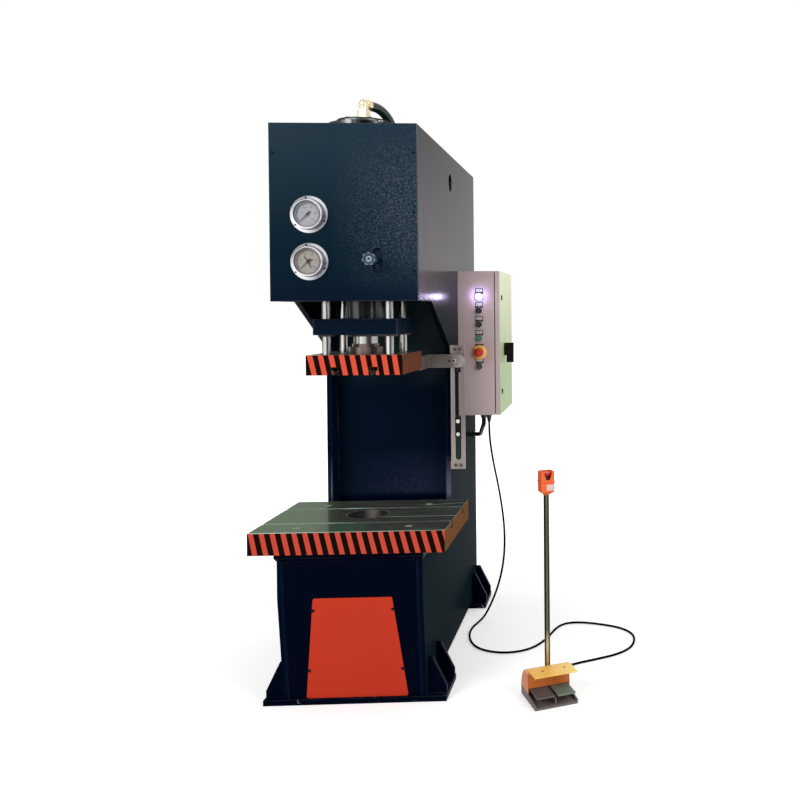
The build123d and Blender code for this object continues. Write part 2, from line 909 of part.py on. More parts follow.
def trip_arm():
    """Z-shaped bracket: a foot on the platen's back, a web towards the column and a finger."""
    right = platen_width / 2
    top = arm_bottom_z + arm_height
    arm = block(right - arm_foot, right, platen_back_y, platen_back_y + arm_plate, arm_bottom_z, top)
    arm += block(right - arm_plate, right, platen_back_y, arm_front_y + arm_plate, arm_bottom_z, top)
    finger_end = arm_reach_x - arm_height / 2
    arm += block(right - arm_plate, finger_end, arm_front_y, arm_front_y + arm_plate, arm_bottom_z, top)
    middle = arm_bottom_z + arm_height / 2
    back = arm_front_y + arm_plate
    arm += rod_along_y(arm_height / 2, finger_end, middle, arm_front_y, back)
    arm -= rod_along_y(arm_hole_r, arm_hole_x, middle, arm_front_y - 1, back + 1)
    arm -= rod_along_y(trip_bolt_r + hole_gap, trip_bolt_x, middle, arm_front_y - 1, back + 1)
    for x, z in arm_screw_places():
        arm -= rod_along_y(screw_r + hole_gap, x, z, platen_back_y - 1, platen_back_y + arm_plate + 1)
    return arm


def limit_bar():
    bar = block(limit_bar_x, limit_bar_x + limit_bar_width, limit_bar_y,
                limit_bar_y + limit_bar_plate, limit_bar_z, limit_bar_top_z)
    slot_length = limit_bar_top_z - limit_bar_z - 2 * limit_slot_margin
    slot = Pos(limit_bar_centre_x, (limit_bar_z + limit_bar_top_z) / 2) * Rot(0, 0, 90)
    outline = slot * SlotOverall(slot_length, limit_slot)
    bar -= extrude(Plane.XZ.offset(-limit_bar_y - limit_bar_plate - 1) * outline, limit_bar_plate + 2)
    for z in (limit_bar_z + bar_hole_inset, limit_bar_top_z - bar_hole_inset):
        for side in (-1, 1):
            x = limit_bar_centre_x + side * bar_hole_half_pitch
            bar -= rod_along_y(screw_r + hole_gap, x, z, limit_bar_y - 1, limit_bar_y + limit_bar_plate + 1)
    return bar


def limit_bar_brackets():
    brackets = []
    back = limit_bar_y + limit_bar_plate
    leg_end = back + limit_bar_back_gap
    for z in (limit_bar_z, limit_bar_top_z - bracket_height):
        right = limit_bar_x + limit_bar_width - 2
        bracket = block(half_width, right, back, leg_end, z, z + bracket_height)
        bracket += block(half_width, half_width + limit_bar_plate, back, back + bracket_length,
                         z, z + bracket_height)
        hole_z = z + bar_hole_inset if z == limit_bar_z else z + bracket_height - bar_hole_inset
        for side in (-1, 1):
            x = limit_bar_centre_x + side * bar_hole_half_pitch
            bracket -= rod_along_y(screw_r + hole_gap, x, hole_z, back - 1, leg_end + 1)
        brackets.append(bracket)
    return brackets


def limit_switches():
    switches = []
    back = limit_bar_y + limit_bar_plate
    for z in switch_zs:
        half = switch_width / 2
        body = block(limit_bar_centre_x - half, limit_bar_centre_x + half, back, back + switch_depth,
                     z - switch_height / 2, z + switch_height / 2)
        body = fillet(body.edges().filter_by(Axis.Y), switch_width / 10)
        for side in (-1, 1):
            bolt_z = z + side * switch_bolt_half_pitch
            body += rod_along_y(switch_shank_r, limit_bar_centre_x, bolt_z, limit_bar_y, back + 1)
            body += rod_along_y(switch_head_r, limit_bar_centre_x, bolt_z,
                                limit_bar_y - switch_head_height, limit_bar_y)
        switches.append(body)
    return switches


def hose_point(distance):
    """Place at a distance from the ram axis along the elbow's heading."""
    turn = math.radians(elbow_heading)
    return distance * math.cos(turn), distance * math.sin(turn)


def elbow_fitting():
    base = cap_top_z + elbow_hex_height
    centre_z = cap_top_z + elbow_height
    fitting = extrude(Pos(0, 0, cap_top_z) * RegularPolygon(elbow_hex / 2, 6, major_radius=False),
                      elbow_hex_height)
    fitting += rod_along_z(elbow_r, 0, 0, base, centre_z)
    fitting += Pos(0, 0, centre_z) * Sphere(elbow_r + 2)
    leg = Plane(origin=(0, 0, centre_z), z_dir=(*hose_point(1.0), 0))
    fitting += extrude(leg * Circle(elbow_r), elbow_reach)
    fitting += extrude(leg.offset(elbow_reach / 2) * Circle(hose_r + ferrule_wall), elbow_reach / 2)
    fitting -= rod_along_z(elbow_r / 2, 0, 0, cap_top_z - 1, centre_z)
    return fitting - extrude(leg * Circle(elbow_r / 2), elbow_reach + 1)


def corner_radii(points, share=0.45):
    """Fillet radius of each corner of a route, as large as its shorter run allows."""
    radii = []
    for before, here, after in zip(points, points[1:], points[2:]):
        into, out = Vector(*here) - Vector(*before), Vector(*after) - Vector(*here)
        turn = math.radians(into.get_angle(out))
        radii.append(share * min(into.length, out.length) / math.tan(turn / 2))
    return radii


def tube_along(points, radius, bends=None):
    """Round tube along straight runs joined by tangent arcs."""
    path = FilletPolyline(*points, radius=bends or corner_radii(points))
    start = Plane(origin=points[0], z_dir=Vector(*points[1]) - Vector(*points[0]))
    return sweep(start * Circle(radius), path=path), path


def top_hose():
    """From the elbow over the cap's edge, down through the top plate to the valve block."""
    start_z = cap_top_z + elbow_height
    sx, sy = hose_point(elbow_reach)
    dx, dy = hose_point(hose_drop)
    route = [
        (sx, sy, start_z),
        (dx, dy, start_z),
        (dx, dy, hose_low_z),
        (valve_x + hose_side_reaches[0], rod_y / 2, hose_low_z - hose_falls[0]),
        (valve_x + hose_side_reaches[1], head_back_y + hose_front_gap, hose_low_z - hose_falls[1]),
        (valve_x, head_back_y + valve_block_depth / 2, hose_low_z - hose_falls[2]),
        (valve_x, head_back_y + valve_block_depth / 2, valve_z + valve_block / 2),
    ]
    hose, _ = tube_along(route, hose_r, [hose_bend, *corner_radii(route)[1:]])
    return hose


def gauge_case(z):
    face = head_front_y
    front = face - bezel_depth
    case = turned_along_y(
        [
            (0, face + gauge_case_depth),
            (gauge_case_r, face + gauge_case_depth),
            (gauge_case_r, face),
            (gauge_flange_r, face),
            (gauge_flange_r, face - gauge_flange),
            (bezel_r, face - gauge_flange),
            (bezel_r, front + 2),
            (bezel_r - 2, front),
            (bezel_lip_r, front),
            (bezel_lip_r, front + bezel_lip),
            (gauge_bore_r, front + bezel_lip),
            (gauge_bore_r, face - dial_depth + dial_sheet),
            (0, face - dial_depth + dial_sheet),
        ],
        gauge_x,
        z,
    )
    for angle in gauge_screw_angles:
        turn = math.radians(angle)
        x, dz = gauge_screw_circle * math.cos(turn), gauge_screw_circle * math.sin(turn)
        case += rod_along_y(gauge_screw_r, gauge_x + x, z + dz,
                            face - gauge_flange - gauge_screw_head, face - gauge_flange)
    return case


def gauge_dial(z):
    floor = head_front_y - dial_depth + dial_sheet
    dial = rod_along_y(gauge_bore_r, gauge_x, z, floor - dial_sheet, floor)
    return dial + rod_along_y(dial_pin_r, gauge_x, z, floor - dial_sheet - dial_pin, floor)


def gauge_glass_disc(z):
    front = head_front_y - bezel_depth + bezel_lip
    return rod_along_y(gauge_bore_r, gauge_x, z, front, front + gauge_glass)


def gauge_needle(z, rest):
    """Needle with a tapered pointer and tail on a hub that turns on the dial's pin."""
    floor = head_front_y - dial_depth
    back = floor - loose_gap - 1.5
    hub = rod_along_y(needle_hub_r, 0, 0, back - needle_hub, back)
    half, tip = needle_width / 2, needle_width / 8
    pointer = Polygon(
        (-needle_tail, -half * 1.4), (0, -half), (needle_length, -tip),
        (needle_length, tip), (0, half), (-needle_tail, half * 1.4), align=None,
    )
    middle = back - needle_hub / 2
    hub += extrude(Plane.XZ.offset(-middle) * Rot(0, 0, rest) * pointer, needle_sheet)
    pin_end = floor - dial_pin
    hub -= rod_along_y(dial_pin_r + running_gap, 0, 0, pin_end - loose_gap, back + 1)
    return Pos(gauge_x, 0, z) * hub


def valve_manifold():
    half = valve_block / 2
    body = block(valve_x - half, valve_x + half, head_back_y, head_back_y + valve_block_depth,
                 valve_z - half, valve_z + half)
    body = chamfer(body.edges().filter_by(Axis.Y), half / 12)
    front = head_back_y - valve_boss_length
    body += rod_along_y(valve_boss_r, valve_x, valve_z, front, head_back_y)
    return body - rod_along_y(valve_stem_r + running_gap, valve_x, valve_z,
                              front - 1, front + valve_stem_seat + loose_gap)


def valve_knob():
    """Star knob with rounded lobes, a dished face and a stem."""
    star = Circle(knob_r - knob_lobe_r / 2)
    for n in range(knob_lobes):
        turn = math.radians(90 + 360 * n / knob_lobes)
        reach = knob_r - knob_lobe_r
        star += Pos(reach * math.cos(turn), reach * math.sin(turn)) * Circle(knob_lobe_r)
    for n in range(knob_lobes):
        turn = math.radians(90 + 360 * (n + 0.5) / knob_lobes)
        star -= Pos(knob_r * math.cos(turn), knob_r * math.sin(turn)) * Circle(knob_lobe_r / 1.6)
    back = knob_face_y + knob_thickness
    knob = extrude(Plane.XZ.offset(-back) * star, knob_thickness)
    knob = Pos(valve_x, 0, valve_z) * knob
    dish = knob_thickness / 4
    knob -= rod_along_y(knob_r / 2, valve_x, valve_z, knob_face_y - 1, knob_face_y + dish)
    knob += rod_along_y(knob_r / 4, valve_x, valve_z, knob_face_y, knob_face_y + dish)
    stem_end = head_back_y - valve_boss_length + valve_stem_seat
    return knob + rod_along_y(valve_stem_r, valve_x, valve_z, back, stem_end)


def device_zs():
    return [device_top_z - n * device_pitch for n in range(6)]


def cabinet_box():
    sheet = cabinet_sheet
    box = block(half_width, cabinet_right_x, cabinet_front_y, cabinet_back_y,
                cabinet_bottom_z, cabinet_top_z)
    box -= block(half_width + sheet, cabinet_right_x - sheet, cabinet_front_y + sheet,
                 cabinet_back_y - sheet, cabinet_bottom_z + sheet, cabinet_top_z - sheet)
    lip = cabinet_lip
    box -= block(cabinet_right_x - sheet - 1, cabinet_right_x + 1, cabinet_front_y + lip,
                 cabinet_back_y - lip, cabinet_bottom_z + lip, cabinet_top_z - lip)
    for z in device_zs():
        box -= rod_along_y(device_hole_r, device_x, z, cabinet_front_y - 1, cabinet_front_y + sheet + 1)
    for x, y in ((cable_x, cable_y), (conduit_x, conduit_y)):
        box -= rod_along_z(gland_thread, x, y, cabinet_bottom_z - 1, cabinet_bottom_z + sheet + 1)
    return box


def cabinet_door():
    sheet = cabinet_sheet
    door = block(door_inner_x, door_outer_x, cabinet_front_y, door_back_y,
                 cabinet_bottom_z, cabinet_top_z)
    door = fillet(door.edges().group_by(Axis.X)[-1], 2)
    door -= block(door_inner_x - 1, door_outer_x - sheet, cabinet_front_y + sheet,
                  door_back_y - sheet, cabinet_bottom_z + sheet, cabinet_top_z - sheet)
    for z in lock_zs:
        inner_x = door_outer_x - sheet - 1
        door -= rod_along_x(lock_shaft_r + running_gap, lock_y, z, inner_x, door_outer_x + 1)
    door -= rod_along_x(lock_shaft_r + running_gap, handle_y, handle_z,
                        door_outer_x - sheet - 1, door_outer_x + 1)
    half = hinge_knuckle / 2 - loose_gap
    for z in hinge_zs:
        lug = block(hinge_x - hinge_arm / 2, hinge_x + hinge_arm / 2, door_back_y, hinge_y,
                    z - half, z + half)
        lug += rod_along_z(hinge_knuckle_r, hinge_x, hinge_y, z - half, z + half)
        door += lug - rod_along_z(hinge_pin_r + running_gap, hinge_x, hinge_y, z - half - 1, z + half + 1)
    return door


def door_hinges():
    hinges = []
    reach = 1.5 * hinge_knuckle
    for z in hinge_zs:
        base_right = cabinet_right_x - 6
        hinge = block(base_right - hinge_base, base_right, cabinet_back_y, hinge_y + hinge_arm / 2,
                      z - reach, z + reach)
        for side in (-1, 1):
            z0, z1 = sorted((z + side * hinge_knuckle / 2, z + side * reach))
            hinge += rod_along_z(hinge_knuckle_r, hinge_x, hinge_y, z0, z1)
            hinge += block(base_right, hinge_x, hinge_y - hinge_arm / 2, hinge_y + hinge_arm / 2, z0, z1)
        hinge += rod_along_z(hinge_pin_r, hinge_x, hinge_y, z - reach, z + reach)
        hinges.append(hinge)
    return hinges


def door_lock(z):
    """Cam lock: slotted head, shaft through the door skin and a cam behind it."""
    skin = door_outer_x - cabinet_sheet
    lock = rod_along_x(lock_head_r, lock_y, z, door_outer_x + loose_gap, door_outer_x + lock_head)
    lock += rod_along_x(lock_shaft_r, lock_y, z, skin - 10, door_outer_x + loose_gap)
    cam_x = skin - 10
    lock += block(cam_x, cam_x + lock_cam, lock_y - lock_cam_length, lock_y + lock_cam_width / 2,
                  z - lock_cam_width / 2, z + lock_cam_width / 2)
    return lock - block(door_outer_x + lock_head / 2, door_outer_x + lock_head + 1,
                        lock_y - lock_head_r - 1, lock_y + lock_head_r + 1, z - 1.2, z + 1.2)


def main_switch_handle():
    face = door_outer_x + loose_gap
    disc = rod_along_x(handle_disc_r, handle_y, handle_z, face, face + handle_disc)
    disc = chamfer(disc.edges().group_by(Axis.X)[-1], 2)
    grip = block(face + handle_disc, face + handle_disc + handle_grip_height,
                 handle_y - handle_grip_width / 2, handle_y + handle_grip_width / 2,
                 handle_z - handle_grip_drop, handle_z + handle_disc_r)
    grip = fillet(grip.edges().filter_by(Axis.X), handle_grip_width / 4)
    shaft = rod_along_x(lock_shaft_r, handle_y, handle_z, door_inner_x + 2, face)
    return disc + grip + shaft


def control_collar(z, head_r, with_recess):
    """Threaded collar of a control device with its nut, and the legend plate above it."""
    face = cabinet_front_y
    inner = face + cabinet_sheet
    collar = rod_along_y(device_collar_r, device_x, z, face - device_collar, face)
    collar += rod_along_y(device_hole_r - hole_gap, device_x, z, face, face + device_body)
    collar += rod_along_y(device_nut_r, device_x, z, inner, inner + device_nut)
    legend = block(device_x - legend_width / 2, device_x + legend_width / 2,
                   face - legend_sheet, face, z + legend_offset, z + legend_offset + legend_height)
    collar += legend
    if with_recess:
        depth = face - device_collar + button_recess
        collar -= rod_along_y(head_r + loose_gap, device_x, z, face - device_collar - 1, depth)
    return collar - rod_along_y(device_shaft_r + running_gap, device_x, z,
                                face - device_collar - 1, face + device_body + 1)


def control_collars():
    face = cabinet_front_y
    collars = []
    for n, z in enumerate(device_zs()):
        collar = control_collar(z, button_head_r, n == 3)
        if n == 4:
            ring = rod_along_y(stop_ring_r, device_x, z, face - legend_sheet - stop_ring, face)
            ring -= rod_along_y(device_collar_r, device_x, z, face - device_collar, face + 1)
            collar += ring
        collars.append(collar)
    return collars


def signal_lamp():
    z = device_zs()[0]
    face = cabinet_front_y - device_collar
    lamp = turned_along_y(
        [
            (0, face),
            (lamp_r, face),
            (lamp_r, face - lamp_height * 0.5),
            (lamp_r * 0.8, face - lamp_height * 0.85),
            (lamp_r * 0.4, face - lamp_height),
            (0, face - lamp_height),
        ],
        device_x,
        z,
    )
    return lamp + rod_along_y(device_shaft_r, device_x, z, face, cabinet_front_y + device_body)


def selector(z, grip_angle):
    """Rotary selector: round head with a raised grip bar and a shaft."""
    face = cabinet_front_y - device_collar - loose_gap
    knob = rod_along_y(knob_head_r, 0, 0, face - knob_head, face)
    grip = block(-grip_width / 2, grip_width / 2, face - knob_head - grip_depth, face - knob_head,
                 -knob_head_r, knob_head_r)
    grip = fillet(grip.edges().filter_by(Axis.Y), grip_width / 3)
    knob += Rot(0, grip_angle, 0) * grip
    knob += rod_along_y(device_shaft_r, 0, 0, face, cabinet_front_y + device_body)
    return Pos(device_x, 0, z) * knob


def start_button():
    z = device_zs()[3]
    back = cabinet_front_y - device_collar + button_recess - button_travel - 1
    head = rod_along_y(button_head_r, device_x, z, back - button_head, back)
    head = fillet(head.edges().group_by(Axis.Y)[0], 1.5)
    return head + rod_along_y(device_shaft_r, device_x, z, back, cabinet_front_y + device_body)


def stop_mushroom():
    z = device_zs()[4]
    neck = cabinet_front_y - device_collar - stop_travel - 1
    head = turned_along_y(
        [
            (0, neck),
            (stop_head_r * 0.75, neck),
            (stop_head_r, neck - stop_head * 0.35),
            (stop_head_r, neck - stop_head * 0.65),
            (stop_head_r * 0.8, neck - stop_head * 0.9),
            (stop_head_r * 0.5, neck - stop_head),
            (0, neck - stop_head),
        ],
        device_x,
        z,
    )
    return head + rod_along_y(device_shaft_r, device_x, z, neck, cabinet_front_y + device_body)


def control_gear():
    """Mounting plate on stand-offs with rows of rail-mounted units."""
    back = half_width + cabinet_sheet
    front = back + gear_standoff + gear_plate
    y0, y1 = cabinet_front_y + 2 * gear_margin, cabinet_back_y - gear_margin
    z0, z1 = cabinet_bottom_z + gear_margin, cabinet_top_z - gear_margin
    plate = block(back + gear_standoff, front, y0, y1, z0, z1)
    for y in (y0 + gear_margin, y1 - gear_margin):
        for z in (z0 + gear_margin, z1 - gear_margin):
            plate += rod_along_x(gear_standoff_r, y, z, back, back + gear_standoff)
    units = []
    for row in range(gear_rows):
        z, height = z1 - gear_row_drops[row], gear_unit_heights[row]
        depth, width = gear_unit_depths[row], gear_unit_widths[row]
        for n in range(gear_unit_counts[row]):
            y = y0 + gear_row_inset + n * (width + gear_unit_gap)
            unit = block(front, front + depth, y, y + width, z, z + height)
            units.append(chamfer(unit.edges().group_by(Axis.X)[-1], gear_chamfer))
    return [plate] + units


def cable_gland(base_z, x, y, body_r, exit_r, drop):
    """Gland under the cabinet: thread, hexagon nut and a tapered body."""
    top = base_z + cabinet_sheet + gland_nut
    nut = extrude(Pos(x, y, base_z - gland_nut) * RegularPolygon(body_r + 2, 6), gland_nut)
    body = turned(
        [
            (0, base_z - gland_nut - drop),
            (exit_r + 1.5, base_z - gland_nut - drop),
            (body_r, base_z - gland_nut),
            (0, base_z - gland_nut),
        ],
        x,
        y,
    )
    return nut + body + rod_along_z(gland_thread - hole_gap, x, y, base_z, top)


def pedal_exit():
    """Tip of the gland on the pedal's back wall and the place its cable heads for."""
    tip_v = pedal_depth + gland_nut / 2 + gland_taper
    tip = pedal_place * Pos(pedal_gland_u, tip_v, pedal_gland_z)
    lead = pedal_place * Pos(pedal_gland_u, tip_v + cable_lead, pedal_gland_z)
    return tip.position, lead.position


def pedal_gland():
    y0, y1 = pedal_depth, pedal_depth + gland_nut / 2
    body = turned_along_y(
        [
            (0, y0),
            (gland_body_r, y0),
            (gland_body_r, y1),
            (gland_body_r - 3, y1),
            (cable_r + 1.5, y1 + gland_taper),
            (0, y1 + gland_taper),
        ],
        0,
        0,
    )
    return pedal_place * Pos(pedal_gland_u, 0, pedal_gland_z) * body


def conduit_route():
    start_z = cabinet_bottom_z - gland_nut - conduit_gland_drop
    return [
        (conduit_x, conduit_y, start_z),
        (conduit_x, conduit_y, start_z - conduit_bend),
        (half_width + conduit_collar + conduit_bend, conduit_end_y, conduit_end_z),
        (half_width + conduit_collar, conduit_end_y, conduit_end_z),
    ]


def cable_glands():
    collar = rod_along_x(conduit_r + 4, conduit_end_y, conduit_end_z,
                         half_width, half_width + conduit_collar)
    return [
        cable_gland(cabinet_bottom_z, cable_x, cable_y, gland_body_r, cable_r, gland_taper),
        cable_gland(cabinet_bottom_z, conduit_x, conduit_y, conduit_gland_r, conduit_r,
                    conduit_gland_drop),
        pedal_gland(),
        collar,
    ]


def cable_route():
    """Pedal cable: down from its gland, out over the floor in a loose loop, into the pedal."""
    tip, lead = pedal_exit()
    return [
        (cable_x, cable_y, cabinet_bottom_z - gland_nut - gland_taper),
        (cable_x, cable_y, 840),
        (371, 676, 770),
        (384, 678, 690),
        (402, 681, 600),
        (418, 682, 500),
        (428, 681, 400),
        (427, 679, 300),
        (414, 678, 210),
        (391, 679, 130),
        (364, 677, 66),
        (337, 661, 16),
        (313, 613, cable_r),
        (299, 556, cable_r),
        (297, 478, cable_r),
        (316, 386, cable_r),
        (355, 307, cable_r),
        (416, 259, cable_r),
        (487, 243, cable_r),
        (556, 265, cable_r),
        (606, 325, cable_r),
        (640, 415, cable_r),
        (664, 520, cable_r),
        (699, 581, cable_r),
        (765, 592, cable_r),
        (856, 560, cable_r),
        (946, 507, cable_r),
        (996, 434, cable_r),
        (1005, 350, cable_r),
        (985, 262, cable_r),
        (930, 196, cable_r),
        (846, 150, cable_r),
        (764, 110, cable_r),
        (692, 54, cable_r),
        (lead.X, lead.Y, lead.Z),
        (tip.X, tip.Y, tip.Z),
    ]


def oil_tank():
    """Welded tank that stands on the rear foot inside the column, open under its motor plate."""
    half = tank_width / 2
    sheet = tank_sheet
    tank = block(-half, half, tank_front_y, tank_back_y, foot_plate, tank_top_z)
    tank -= block(-half + sheet, half - sheet, tank_front_y + sheet, tank_back_y - sheet,
                  foot_plate + sheet, tank_top_z - sheet)
    centre_y = (tank_front_y + tank_back_y) / 2
    return tank - rod_along_z(pump_r + 5, 0, centre_y, tank_top_z - sheet - 1, tank_top_z + 1)


def motor_pump():
    """Finned motor on a flange that closes the tank, with the pump hanging into it."""
    centre_y = (tank_front_y + tank_back_y) / 2
    base = tank_top_z
    body = rod_along_z(motor_flange_r, 0, centre_y, base, base + motor_flange)
    body += rod_along_z(motor_r - motor_fin, 0, centre_y, base + motor_flange,
                        base + motor_flange + motor_height)
    for n in range(motor_fins):
        fin = block(motor_r - 2 * motor_fin, motor_r, -2, 2, base + motor_flange,
                    base + motor_flange + motor_height * 0.75)
        body += Pos(0, centre_y, 0) * Rot(0, 0, 360 * n / motor_fins) * fin
    return body + rod_along_z(pump_r, 0, centre_y, base - pump_drop, base)


def pedal_base():
    """Cast tray with sloping side walls, a rib between the treads, an axle and a post boss."""
    base = block(0, pedal_width, 0, pedal_depth, 0, pedal_floor)
    slope = [(0, pedal_floor), (0, pedal_front_z), (pedal_depth, pedal_back_z), (pedal_depth, pedal_floor)]
    for u in (0, pedal_width - pedal_wall):
        base += profile_along_x(slope, u, u + pedal_wall)
    inner_v = pedal_depth - pedal_wall
    rear = [(inner_v, pedal_floor), (inner_v, wall_slope_z(inner_v)), *slope[2:]]
    base += profile_along_x(rear, 0, pedal_width)
    middle = pedal_width / 2
    base += block(middle - pedal_wall / 2, middle + pedal_wall / 2, pedal_rib_start, axle_v + axle_r,
                  pedal_floor, pedal_rib_z)
    base += rod_along_x(axle_r, axle_v, axle_z, pedal_wall, pedal_width - pedal_wall)
    reach = axle_r + 2
    for u in (1.5 * pedal_wall, middle, pedal_width - 1.5 * pedal_wall):
        base += block(u - pedal_wall / 2, u + pedal_wall / 2, axle_v - reach, axle_v + reach,
                      pedal_floor, axle_z)
    boss = rod_along_z(post_boss_r, post_u, post_v + 2, pedal_floor, post_boss_z)
    boss -= rod_along_z(post_r, post_u, post_v + 2, pedal_floor + 4, post_boss_z + 1)
    return pedal_place * (base + boss)


def tread(u0, u1):
    """Ribbed tread plate with a hub that turns on the base's axle."""
    plate = block(u0, u1, 0, axle_v, tread_top_z - tread_sheet, tread_top_z)
    plate = chamfer(plate.edges().group_by(Axis.Y)[0].group_by(Axis.Z)[-1], tread_sheet / 3)
    plate += rod_along_x(tread_hub_r, axle_v, axle_z, u0 + pedal_wall, u1 - pedal_wall)
    count = int(guard_wall_v / tread_rib_pitch) - 1
    for n in range(count):
        v = tread_rib_pitch * (n + 1)
        plate -= block(u0 + 6, u1 - 6, v - tread_rib, v + tread_rib, tread_top_z - 1, tread_top_z + 1)
    plate -= rod_along_x(axle_r + running_gap, axle_v, axle_z, u0 - 1, u1 + 1)
    return pedal_place * plate


def treads():
    middle = pedal_width / 2
    edge = pedal_wall + tread_side_gap
    rib = pedal_wall / 2 + tread_side_gap
    return tread(edge, middle - rib), tread(middle + rib, pedal_width - edge)


def hood_outline(sheet):
    """Side view of the guard's outer or inner surface: a flat lid running into a quarter ellipse."""
    reach, rise = pedal_depth - guard_round_v - sheet, guard_top_z - pedal_back_z - sheet
    curve = Pos(guard_round_v, pedal_back_z) * Ellipse(reach, rise)
    window = Rectangle(reach, rise, align=(Align.MIN, Align.MIN))
    quarter = curve & (Pos(guard_round_v, pedal_back_z) * window)
    lid = Rectangle(guard_round_v, rise, align=(Align.MIN, Align.MIN))
    return quarter + Pos(0, pedal_back_z) * lid


def pedal_guard():
    """Bent hood over the treads' rear with closed ends, a front wall and a visor."""
    outer, inner = hood_outline(0), hood_outline(guard_sheet)
    hood = extrude(Plane.YZ * (outer - inner), pedal_width)
    wall_bottom = tread_top_z + guard_wall_gap
    wall = extrude(Plane.YZ * outer, pedal_width)
    hood += wall & block(0, pedal_width, guard_wall_v, guard_wall_v + guard_sheet,
                         wall_bottom, guard_top_z)
    for u in (0, pedal_width - guard_sheet):
        cheek = extrude(Plane.YZ.offset(u) * outer, guard_sheet)
        cheek &= block(u, u + guard_sheet, guard_wall_v, pedal_depth, pedal_back_z, guard_top_z)
        slope = [
            (guard_wall_v, wall_slope_z(guard_wall_v)),
            (pedal_depth, pedal_back_z),
            (guard_wall_v, pedal_back_z),
        ]
        hood += cheek + profile_along_x(slope, u, u + guard_sheet)
    hood -= block(-1, pedal_width + 1, -1, guard_wall_v, 0, guard_top_z - 2 * guard_sheet)
    hood -= rod_along_z(post_r + loose_gap, post_u, post_v + 2, pedal_back_z, guard_top_z + 1)
    return pedal_place * hood


def wall_slope_z(v):
    return pedal_front_z + (pedal_back_z - pedal_front_z) * v / pedal_depth


def pedal_post():
    tube = rod_along_z(post_r, post_u, post_v + 2, pedal_floor + 4, post_top_z)
    bore = rod_along_z(post_r - post_wall, post_u, post_v + 2, pedal_floor + 3, post_top_z - 10)
    return pedal_place * (tube - bore)


def stop_box():
    """Cast box on the post: tapered foot, raised rim and a notched shroud round the button."""
    half = stop_box_side / 2
    top = stop_box_bottom_z + stop_box_height
    outline = RectangleRounded(stop_box_side, stop_box_side, 5)
    taper = loft([Pos(0, 0, post_top_z) * Circle(post_r), Pos(0, 0, stop_box_bottom_z) * outline])
    body = extrude(Pos(0, 0, stop_box_bottom_z) * outline, stop_box_height)
    rim_side = stop_box_side + 2 * stop_box_rim
    rim = extrude(Pos(0, 0, stop_box_rim_z) * RectangleRounded(rim_side, rim_side, 6), 4)
    box = body + taper + rim
    cavity_half = half - stop_shroud
    box -= block(-cavity_half, cavity_half, -cavity_half, cavity_half, stop_floor_z, top + 1)
    notch = [
        (-stop_notch_bottom, stop_notch_z),
        (stop_notch_bottom, stop_notch_z),
        (stop_notch_top, top + 1),
        (-stop_notch_top, top + 1),
    ]
    box -= profile_along_y(notch, -half - 5, 0)
    box += rod_along_z(stop_base_r, 0, 0, stop_floor_z - 1, stop_base_z)
    box -= rod_along_z(post_button_shaft_r + running_gap, 0, 0, stop_floor_z - post_button_shaft,
                       stop_base_z + 1)
    return pedal_place * Pos(post_u, post_v + 2, 0) * box


def stop_button():
    """Palm button with a domed top that is pressed down into its base."""
    under = stop_base_z + post_button_travel + 1
    top = under + post_button
    head = turned(
        [
            (0, under),
            (post_button_r * 0.8, under),
            (post_button_r, under + post_button * 0.3),
            (post_button_r, under + post_button * 0.6),
            (post_button_r * 0.75, top - 1),
            (post_button_r * 0.4, top),
            (0, top),
        ]
    )
    shaft_end = stop_floor_z - post_button_shaft + post_button_travel + 1
    head += rod_along_z(post_button_shaft_r, 0, 0, shaft_end, under)
    return pedal_place * Pos(post_u, post_v + 2, 0) * head


# Frame
save("left_side_plate", side_plate_part(-1))
save("right_side_plate", side_plate_part(1))
save("head_front_plate", head_front_plate())
save("top_plate", top_plate())
save("back_plate", back_plate())
save("column_web", column_web())
save("bed_top_plate", bed_top_plate())
save("bed_front_plate", bed_front_plate_part())
save("feet", foot(front_foot_start_y, front_foot_length, front_gusset_offsets),
     foot(rear_foot_start_y, rear_foot_length, rear_gusset_offsets))
save("front_cover", front_cover())
save("frame_bolts", *frame_screws(), *socket_bolts())
save("table", table())

# Cylinder and guide
save("cylinder_barrel", cylinder_barrel())
save("cylinder_cap", cylinder_cap())
save("guide_block", guide_block())
save("slide_bearings", *slide_bearings())
save("elbow_fitting", elbow_fitting())
save("top_hose", top_hose())

# Slide
save("ram", ram())
save("ram_flange", ram_flange_part())
save("platen", platen())
save("platen_fasteners", *platen_fasteners())
save("guide_rods", *guide_rods())
save("trip_arm", trip_arm())

# Stroke control
save("limit_bar", limit_bar())
save("limit_bar_brackets", *limit_bar_brackets())
save("limit_switches", *limit_switches())

# Gauges and valve
save("gauge_cases", *[gauge_case(z) for z in gauge_zs])
save("gauge_dials", *[gauge_dial(z) for z in gauge_zs])
save("gauge_glasses", *[gauge_glass_disc(z) for z in gauge_zs])
save("upper_gauge_needle", gauge_needle(gauge_zs[0], needle_rests[0]))
save("lower_gauge_needle", gauge_needle(gauge_zs[1], needle_rests[1]))
save("valve_manifold", valve_manifold())
save("valve_knob", valve_knob())

# Cabinet
save("cabinet_box", cabinet_box())
save("cabinet_door", cabinet_door())
save("door_hinges", *door_hinges())
save("upper_door_lock", door_lock(lock_zs[0]))
save("lower_door_lock", door_lock(lock_zs[1]))
save("main_switch_handle", main_switch_handle())
save("control_collars", *control_collars())
save("signal_lamp", signal_lamp())
save("upper_selector", selector(device_zs()[1], 40))
save("lower_selector", selector(device_zs()[2], -40))
save("start_button", start_button())
save("stop_mushroom", stop_mushroom())
save("key_switch", selector(device_zs()[5], 0))
save("control_gear", *control_gear())

